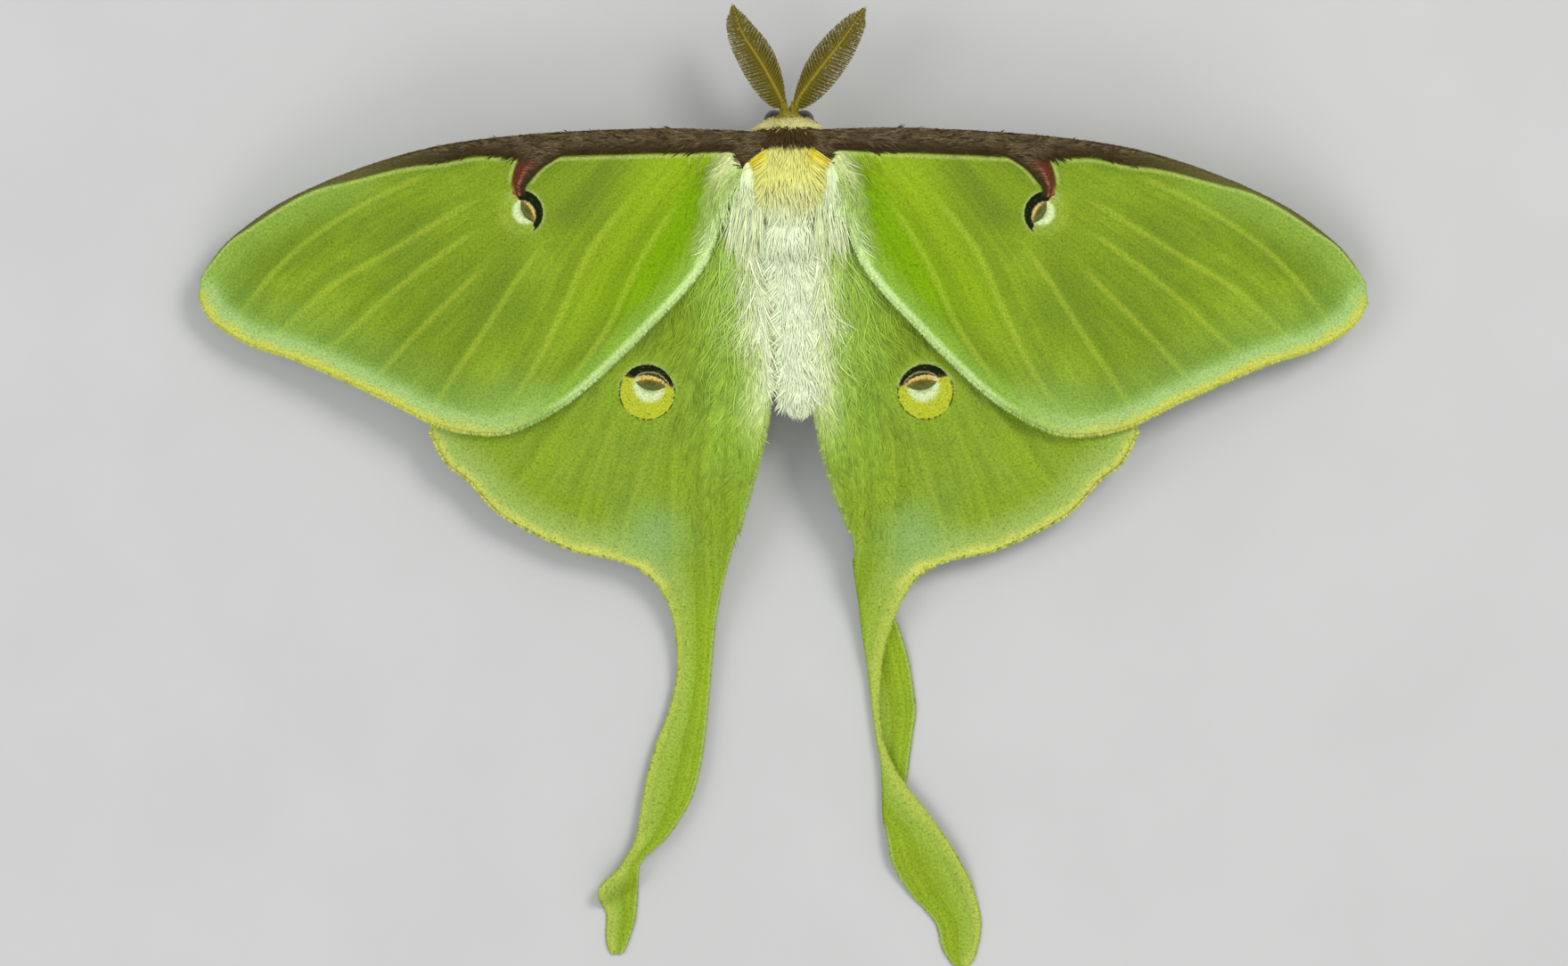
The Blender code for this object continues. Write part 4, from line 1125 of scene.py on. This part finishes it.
def skin_samples(vertices, normals, faces, count, seed, weight):
    """Random places on the body's skin, as many in each stretch as weight asks."""
    rng = np.random.default_rng(seed)
    corners = np.array([face[:3] for face in faces])
    quads = np.array([face for face in faces if len(face) == 4])
    corners = np.vstack([corners, quads[:, [0, 2, 3]]])
    a, b, c = (vertices[corners[:, k]] for k in range(3))
    area = np.linalg.norm(np.cross(b - a, c - a), axis=1) * weight((a + b + c) / 3)
    chosen = rng.choice(len(corners), count, p=area / area.sum())
    s, t = rng.uniform(size=(2, count))
    over = s + t > 1
    s[over], t[over] = 1 - s[over], 1 - t[over]
    mix = np.column_stack([1 - s - t, s, t])[..., None]
    position = (vertices[corners[chosen]] * mix).sum(axis=1)
    normal = unit((normals[corners[chosen]] * mix).sum(axis=1))
    return position, normal, rng


def body_lie(points):
    """The direction in which the fur lies: back along the body, flaring out at the sides."""
    x, y, z = points[:, 0] - TRUNK_X, points[:, 1], points[:, 2]
    lie = stacked(0.10 * x, -1.0, -0.15 * between(7.0, 4.0, z))
    lie = lie * (1 - 0.35 * between(9.5, 7.2, y)[:, None])
    face, collar = between(32.25, 32.75, y), between(31.7, 32.3, y) * between(6.2, 7.2, z)
    for share, other in ((face, stacked(0.3 * x, 0.5, 0.7 * np.sign(z - 5.6))),
                         (collar, stacked(0.16 * x, 0.9, 0.5))):
        lie = lie * (1 - share[:, None]) + share[:, None] * other
    return lie + 0.22 * stacked(wave(points, 1.5, 11), 0.0, wave(points, 1.5, 12))


def body_roots(skin, count, seed, weight, length, width, lift, droop, curl=0.16, heading=body_lie):
    """Roots of fur on the body; a lock takes its colours from the place that it covers.

    heading is a function of the places, and length a number or a function of them and of how far
    down its leg each of them is.
    """
    position, normal, rng = skin_samples(*skin, count, seed, weight)
    distance, ahead, share = near_leg(position)
    on_leg = (distance < 0.95) & (share > 0.16)
    lie = heading(position)
    lie[on_leg] = ahead[on_leg] + normal[on_leg] * 0.1
    lie = unit(lie + rng.normal(0, 0.10, lie.shape))
    long = length(position, share) if callable(length) else length
    sizes = lock_sizes(rng, count, curl, length=(long, 0.7, 1.25), width=(width, 0.75, 1.3),
                       lift=(lift, 0.6, 1.4), droop=(droop, 0.7, 1.3))
    middle = position + lie * (0.55 * sizes["length"] * ~on_leg)[:, None]
    facing = unit(normal + np.outer(0.9 * between(5.0, 7.0, position[:, 2]), (0.0, 0.0, 1.0)))
    return {"position": position, "normal": normal, "facing": facing, "lie": lie,
            "chart": body_chart(position), "values": body_values(middle), **sizes}


def shoulder_roots(side, count, seed, place, tilt, lean, curl, white=None, **sizes):
    """Roots of long pale locks over the root of a wing.

    place is a function of how far out (-1 to 1) and how far back (0 to 1) a lock starts. The skin
    there tilts, and the locks lean, the more the further out they start.
    """
    rng = np.random.default_rng(seed + side)
    out, back = rng.uniform(-1, 1, count), rng.uniform(0, 1, count)
    x, y, z = place(out, back)
    position = stacked(TRUNK_X + side * x, y, z)
    pale = rng.uniform(*white, count) if white else np.zeros(count)
    values = {key: np.zeros(count) for key, _ in FUR_COLOURS}
    values.update(place=position, white=pale, green=1 - pale)
    return {"position": position, "normal": stacked(side * tilt[0] * out, tilt[1], 1.0),
            "lie": stacked(side * (lean[0] + lean[1] * out), -1.0, lean[2]),
            "chart": body_chart(position), "values": values, **lock_sizes(rng, count, curl, **sizes)}


# ---------------------------------------------------------------- antennae, eyes and claws

def comb_reach(along, comb):
    most, early, full = comb
    return most * np.clip(np.sin(math.pi * along ** early), 0, None) ** full * between(1.02, 0.86, along)


def feeler_line(side, count):
    """A feeler's middle line: its points, the directions at them, and its length."""
    curve = even_curve(ANTENNAE[side], count)
    return curve, unit(np.gradient(curve, axis=0)), np.linalg.norm(np.diff(curve, axis=0), axis=1).sum()


def antenna(side, word, material):
    """A feather-shaped feeler: a jointed shaft with four rows of fine branches."""
    joints, steps = 31, 7
    count = joints * 6 + 1
    curve, ahead, long = feeler_line(side, count)
    shaft = np.vstack([[(TRUNK_X + side * 0.42, 33.5, 6.9)], curve])
    share = np.linspace(0, 1, count + 1)
    radius = 0.16 * (1 - share) ** 0.6 + 0.035 + 0.02 * np.sin(share * joints * 2 * math.pi)
    parts = [tube(shaft, radius, 10)]
    kinds, tips = [np.ones(len(parts[0][0]))], [np.zeros(len(parts[0][0]))]
    t = np.linspace(0, 1, steps)[:, None]
    for joint, upper, way in product(range(1, joints + 1), (True, False), (-1, 1)):
        outer = way * side > 0
        tip_at = (joint + (0.0 if upper else 0.45)) / (joints + 1)
        reach = float(comb_reach(np.array(tip_at), COMB_OUTER if outer else COMB_INNER))
        root_at = tip_at - COMB_LEAN[outer] * reach / long
        if root_at < 0.01 or reach < 0.15:
            continue
        root, tip = (curve[int(place * (count - 1))] for place in (root_at, tip_at))
        forward = ahead[int(tip_at * (count - 1))]
        sideways = unit(np.array((forward[1], -forward[0], 0.0)))
        end = tip + sideways * way * reach
        rise = np.cross(sideways, forward) * (0.42 if upper else -0.18) * reach / COMB_OUTER[0]
        branch = root + (end - root) * t + sideways * way * 0.10 * reach * (t - t * t) + rise * t ** 1.5
        parts.append(tube(branch, np.linspace(0.100, 0.050, steps), 5))
        kinds.append(np.zeros(len(parts[-1][0])))
        tips.append(np.repeat(t[:, 0] ** 3, 5))
    vertices, faces = joined(parts)
    values = {"place": vertices, "shaft": np.concatenate(kinds), "tip": np.concatenate(tips)}
    return make_piece("antenna_comb_" + word, vertices, faces, material, values)


def antenna_hairs(side):
    """Roots of the fine hairs on the branches, which half close the gaps between them."""
    rng = np.random.default_rng(60 + side)
    count, last = 4200, 199
    curve, ahead, long = feeler_line(side, last + 1)
    tip_at, out = rng.uniform(0.05, 0.97, count), rng.uniform(0.05, 0.95, count)
    way = rng.choice((-1.0, 1.0), count)
    outer = way * side > 0
    reach = np.where(outer, comb_reach(tip_at, COMB_OUTER), comb_reach(tip_at, COMB_INNER))
    root_at = np.maximum(tip_at - np.where(outer, COMB_LEAN[True], COMB_LEAN[False]) * reach / long, 0.0)
    root, tip = (curve[(share * last).astype(int)] for share in (root_at, tip_at))
    forward = ahead[(tip_at * last).astype(int)]
    sideways = unit(stacked(forward[:, 1], -forward[:, 0], 0.0))
    up = np.cross(sideways, forward)
    end = tip + sideways * (way * reach)[:, None]
    position = root + (end - root) * out[:, None]
    rise = rng.uniform(-0.18, 0.40, count) * out ** 1.5 * reach / COMB_OUTER[0]
    position = position + up * rise[:, None]
    lie = unit(forward + sideways * (way * rng.uniform(0.2, 0.9, count))[:, None])
    return {"position": position, "normal": up, "lie": lie, "length": rng.uniform(0.16, 0.30, count),
            "width": np.full(count, 0.045), "lift": rng.normal(0, 0.2, count),
            "droop": np.zeros(count), "curl": rng.normal(0, 0.1, count),
            "chart": np.column_stack([0.02 + 0.96 * tip_at, 0.5 + 0.47 * way * out]),
            "values": {"place": position, "shaft": np.zeros(count), "tip": 0.3 * out}}


def eye(word, material):
    low, high = (np.array(corner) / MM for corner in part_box("eye_" + word))
    centre, radii = (low + high) / 2, (high - low) / 2

    def shape(t, angle, grow):
        ring = np.sqrt(np.clip(1 - t * t, 0, None))
        return centre + np.stack([radii[0] * ring * np.cos(angle), radii[1] * t,
                                  radii[2] * ring * np.sin(angle)], axis=-1)

    vertices, faces = ball(shape, 0.0, 64, 40)
    return make_piece("eye_globe_" + word, vertices, faces, material, {"place": vertices})


def claws(material):
    """Two small hooks at the end of each foot."""
    parts = []
    for (side, _), joints, way in product(SIDES, LEGS.values(), (-1, 1)):
        path = sided_curve(side, joints)
        toe, ahead = path[-1], unit(path[-1] - path[-4])
        sideways = np.cross(ahead, (0.0, 0.0, 1.0)) * way
        hook = even_curve([toe, toe + ahead * 0.22 + sideways * 0.12 + (0, 0, 0.03),
                           toe + ahead * 0.34 + sideways * 0.16 + (0, 0, -0.14)], 8)
        hook[:, 2] = np.maximum(hook[:, 2], LOWEST)
        parts.append(tube(hook, np.linspace(0.07, 0.02, 8), 8))
    vertices, faces = joined(parts)
    return make_piece("claws", vertices, faces, material, {"place": vertices})


# ---------------------------------------------------------------- stage

# The camera looks straight down with the photo's framing. Places, here and of the lamps, are metres.
SENSOR_WIDTH, LENS = 36.0, 228.6
CAMERA_PLACE = (0.0, 0.0004, 0.9)
FLOOR_HALF = 2.0


def area_light(name, place, size, power, colour=(1.0, 1.0, 1.0)):
    """A round lamp that shines on the middle of the floor."""
    light = bpy.data.lights.new(name, "AREA")
    light.shape = "DISK"
    light.size, light.energy, light.color = size, power, colour
    lamp = bpy.data.objects.new(name, light)
    lamp.location = place
    lamp.rotation_euler = (-Vector(place)).to_track_quat("-Z", "Y").to_euler()
    bpy.context.scene.collection.objects.link(lamp)


def set_stage():
    scene = bpy.context.scene
    camera = bpy.data.cameras.new("camera")
    camera.sensor_width, camera.lens = SENSOR_WIDTH, LENS
    camera.clip_start, camera.clip_end = 0.05, 10.0
    view = bpy.data.objects.new("camera", camera)
    view.location = CAMERA_PLACE
    scene.collection.objects.link(view)
    scene.camera = view

    half = FLOOR_HALF / MM
    corners = [(-half, -half, 0), (half, -half, 0), (half, half, 0), (-half, half, 0)]
    make_piece("floor", corners, [(0, 1, 2, 3)], floor_finish())
    area_light("key", (0.35, 0.30, 0.55), 0.30, 2.6, (1.0, 0.99, 0.96))
    area_light("fill", (-0.45, 0.05, 0.45), 0.40, 1.0, (0.97, 0.99, 1.0))
    area_light("back", (-0.05, -0.50, 0.40), 0.35, 0.8)
    world = bpy.data.worlds.new("studio")
    scene.world = world
    world.use_nodes = True
    background = world.node_tree.nodes["Background"]
    background.inputs["Color"].default_value = (0.95, 0.97, 1.0, 1.0)
    background.inputs["Strength"].default_value = 0.65
    scene.view_settings.view_transform = "Standard"


# ---------------------------------------------------------------- putting it together

def dress_wings():
    fore_scales = wing_finish("forewing_scales", True)
    hind_scales = wing_finish("hindwing_scales", False)

    def before_tip(x):
        return between(45.0, 38.0, x)

    def along_front(x, y):
        return 1.0, -0.00045 * np.maximum(x - 10.0, 0) ** 2

    for side, word in SIDES:
        fore, hind = forewing(side), hindwing(side)
        dress(fore.skin("forewing_skin_" + word, fore_scales), "forewing", "forewing_" + word)
        dress(hind.skin("hindwing_skin_" + word, hind_scales), "hindwing", "hindwing_" + word,
              "tail_" + word)
        costal = wing_roots(
            fore, 5600, 101,
            lambda x, y, v: (between(0.0, 0.14, v["costal"])
                             * (1 - between(18.5, 19.5, x) * (x < 26) * (y < 29.3)) * before_tip(x)),
            along_front, lambda x, y: 0.7 * between(40.0, 24.0, x) + 0.2,
            width=0.10, lift=0.24, droop=0.24, tries=9)
        costal_under = wing_roots(
            fore, 1500, 102, lambda x, y, v: between(0.0, 0.2, v["costal"]) * before_tip(x),
            along_front, lambda x, y: 0.7, width=0.13, lift=0.25, droop=0.2, upper=False)
        coat("costal_fur_" + word, "forewing", fore_scales, merged(costal, costal_under), clump=0.15)
        root = wing_roots(
            fore, 3200, 111,
            lambda x, y, v: (between(12.5, 5.0, x) * between(14.0, 22.0, y)
                             * between(0.1, -0.1, v["costal"])),
            lambda x, y: (0.5, -0.85), lambda x, y: 0.8 + 1.3 * between(9.0, 5.0, x),
            width=0.085, lift=0.2, droop=0.16)
        coat("forewing_hair_" + word, "forewing", fore_scales, root, clump=0.2)
        fringe = merged(edge_roots(fore, 4600, 121, 1, 0.34, 0.09),
                        edge_roots(fore, 2400, 122, 0, 0.17, 0.09, (0.04, 1.0)))
        coat("forewing_fringe_" + word, "forewing", fore_scales, fringe, rings=2)

        hair = wing_roots(
            hind, 5600, 131,
            lambda x, y, v: ((between(10.5, 3.0, v["margin"]) * between(-7.0, 6.0, y)
                              * between(27.0, 22.0, y) * (1 - v["outer"])
                              + 0.3 * between(20.0, 12.0, x) * between(4.0, 14.0, y))
                             * (np.hypot(v["spot"][:, 0], v["spot"][:, 1] - 0.4) > 1.55)),
            lambda x, y: (0.16 + 0.016 * x, -1.0), lambda x, y: 1.2 + 1.2 * between(2.0, 16.0, y),
            width=0.085, lift=0.14, droop=0.10, tries=12)
        coat("hindwing_hair_" + word, "hindwing", hind_scales, hair, clump=0.25)
        strands = wing_roots(
            hind, 900, 132,
            lambda x, y, v: (between(6.5, 1.0, v["margin"]) * between(5.0, 16.0, y)
                             * between(27.0, 24.0, y) * (1 - v["outer"])),
            lambda x, y: (0.10 + 0.01 * x, -1.0), lambda x, y: 2.8 + 1.8 * between(10.0, 20.0, y),
            width=0.10, lift=0.20, droop=0.16, curl=0.3, tries=60)
        strands["values"]["pale"] = np.clip(strands["values"]["pale"] + 0.1, 0, 1)
        coat("hindwing_strands_" + word, "hindwing", hind_scales, strands, rings=5, clump=0.35)

        tail_from = (HIND_ROWS[0] + HIND_ROWS[1]) / hind.rows
        inner_to = 0.62 * tail_from + 0.1
        edges = merged(edge_roots(hind, 3200, 141, 0, 0.42, 0.08, (0.05, inner_to), 0.6),
                       edge_roots(hind, 3800, 142, 1, 0.30, 0.09, (0.1, tail_from)))
        coat("hindwing_fringe_" + word, "hindwing", hind_scales, edges, rings=2)
        tail = merged(edge_roots(hind, 2800, 151, 0, 0.22, 0.08, (0.5, 1.0)),
                      edge_roots(hind, 2600, 152, 1, 0.24, 0.08, (tail_from, 1.0)))
        coat("tail_fringe_" + word, "tail", hind_scales, tail, rings=2)


def dress_body():
    fur, skin = fur_finish("body_fur"), body_skin()
    vertices, _, faces = skin
    leg_nodes = [f"leg_{pair}_{word}" for pair in LEGS for _, word in SIDES]
    piece = make_piece("body_skin", vertices, faces, fur, body_values(vertices))
    dress(piece, "thorax_fur", "head", "thorax", "abdomen", *leg_nodes)

    def on_legs(p, reach=0.95):
        distance, _, share = near_leg(p)
        return np.where((distance < reach) & (share > 0.14), 1.0, 0.0)

    def zone(low, high, soft=0.4, floor=-1.0):
        """The weight of places: 1 between low and high along the body, and 0 on the legs."""
        return lambda p: (between(low - soft, low + soft, p[:, 1])
                          * between(high + soft, high - soft, p[:, 1])
                          * (p[:, 2] > floor) * (1.0 - on_legs(p, 1.0)))

    def combed(x, y=-1.0, z=0.0):
        """A heading that spreads by x for each millimetre from the middle line."""
        return lambda p: stacked(x * (p[:, 0] - TRUNK_X), y, z)

    def over_shoulder(p):
        return zone(26.4, 30.2, 0.3)(p) * (np.abs(p[:, 0] - TRUNK_X) > 1.7) * between(8.6, 9.2, p[:, 2])

    def off_shoulder(p):
        out = (0.7 + 0.75 * between(28.6, 29.6, p[:, 1])) * np.sign(p[:, 0] - TRUNK_X)
        return stacked(out, -1.0, 0.0)

    def flank(p):
        middle, level = abdomen_axis(p[:, 1])
        return (zone(6.6, 24.5)(p) * between(0.6, 1.2, np.abs(p[:, 0] - middle))
                * between(level + 0.5, level + 1.1, p[:, 2]))

    def off_flank(p):
        return stacked(1.1 * np.sign(p[:, 0] - abdomen_axis(p[:, 1])[0]), -1.0, 0.45)

    thorax = body_roots(skin, 13000, 201, zone(22.8, 31.0),
                        lambda p, share: 1.5 + 1.0 * between(30.0, 27.5, p[:, 1]),
                        width=0.14, lift=0.42, droop=0.36)
    # It stands up more along the back, where the abdomen's fur begins
    rear = between(25.6, 23.6, thorax["position"][:, 1])
    rear = rear * between(3.0, 1.6, np.abs(thorax["position"][:, 0] - TRUNK_X))
    thorax["lift"] += 0.15 * rear
    coat("thorax_fur", "thorax_fur", fur, thorax, rings=2, clump=0.2, seed=2, soft=0.85)
    shoulder = body_roots(skin, 1500, 208, over_shoulder, 1.75, width=0.17, lift=0.62, droop=0.18,
                          curl=0.12, heading=off_shoulder)
    coat("thorax_shoulder_fur", "thorax_fur", fur, shoulder, rings=4, clump=0.2, seed=9)
    mane = body_roots(skin, 1700, 207, lambda p: zone(23.0, 26.2)(p) * (p[:, 2] > 7.2), 3.4,
                      width=0.16, lift=0.34, droop=0.34, curl=0.2, heading=combed(0.05))
    coat("thorax_mane", "thorax_fur", fur, mane, rings=5, clump=0.3, seed=8)
    band = body_roots(skin, 3000, 205, zone(31.2, 32.2, 0.25, 5.0), 1.15,
                      width=0.13, lift=0.65, droop=0.45, heading=combed(0.3))
    collar = body_roots(skin, 3000, 206, zone(31.9, 32.6, 0.2, 7.0), 0.85,
                        width=0.13, lift=0.40, droop=0.30, heading=combed(0.65, 1.0, 0.25))
    coat("collar_fur", "thorax_fur", fur, merged(band, collar), clump=0.2, seed=6)
    abdomen = body_roots(skin, 15500, 202, zone(4.0, 26.0), 1.4, width=0.12, lift=0.46, droop=0.34)
    coat("abdomen_fur", "abdomen_fur", fur, abdomen, rings=2, clump=0.15, seed=3, soft=0.92)
    flanks = body_roots(skin, 2200, 209, flank,
                        lambda p, share: 1.9 + 0.3 * between(14.0, 21.0, p[:, 1]),
                        width=0.14, lift=0.42, droop=0.26, curl=0.2, heading=off_flank)
    coat("abdomen_flank_fur", "abdomen_fur", fur, flanks, rings=3, clump=0.25, seed=10, soft=0.9)
    head = body_roots(skin, 3600, 203, zone(32.0, 36.0, 0.25),
                      lambda p, share: 0.5 + 0.35 * between(6.2, 7.4, p[:, 2]),
                      width=0.10, lift=0.5, droop=0.25)
    coat("head_fur", "head_fur", fur, head, clump=0.2, seed=4)
    legs = body_roots(skin, 4200, 204, on_legs,
                      lambda p, share: np.interp(share, [0.0, 0.5, 0.7, 1.0], [0.9, 0.75, 0.3, 0.22]),
                      width=0.10, lift=0.4, droop=0.25)
    coat("leg_fur", "leg_fur", fur, legs, clump=0.15, seed=5)
    for side, word in SIDES:
        # Over the forewing's root lie long pale scales, and over the hindwing's longer hairs
        tegula = shoulder_roots(
            side, 800, 70, lambda out, back: (3.85 + 0.55 * out * (1 - 0.4 * back) - 0.25,
                                              29.1 - 2.4 * back - 0.5 * out ** 2,
                                              9.85 - 0.35 * out ** 2 - 0.3 * back),
            tilt=(0.35, 0.1), lean=(0.03, 0.16, -0.05), curl=0.08,
            length=(1, 1.6, 2.6), width=(1, 0.12, 0.20), lift=(1, 0.05, 0.2), droop=(1, 0.05, 0.25))
        coat("tegula_" + word, "thorax_fur", fur, tegula, clump=0.15, seed=7)
        strands = shoulder_roots(
            side, 380, 90, lambda out, back: (3.6 + 1.05 * out, 27.4 - 2.6 * back, 9.35 - 0.45 * back),
            tilt=(0.25, 0.0), lean=(0.10, 0.12, -0.02), curl=0.12, white=(0.4, 1.0),
            length=(1, 3.4, 6.0), width=(1, 0.10, 0.18), lift=(1, 0.05, 0.3), droop=(1, 0.15, 0.35))
        coat("tegula_strands_" + word, "thorax_fur", fur, strands, rings=5, clump=0.35, seed=11)

    gloss, gold = eye_finish(), antenna_finish()
    for side, word in SIDES:
        dress(eye(word, gloss), "eye", "eye_" + word)
        dress(antenna(side, word, gold), "antenna", "antenna_" + word)
        coat("antenna_hair_" + word, "antenna", gold, antenna_hairs(side), rings=2, seed=61)
    dress(claws(gloss), "leg_fur")


set_stage()
dress_wings()
dress_body()
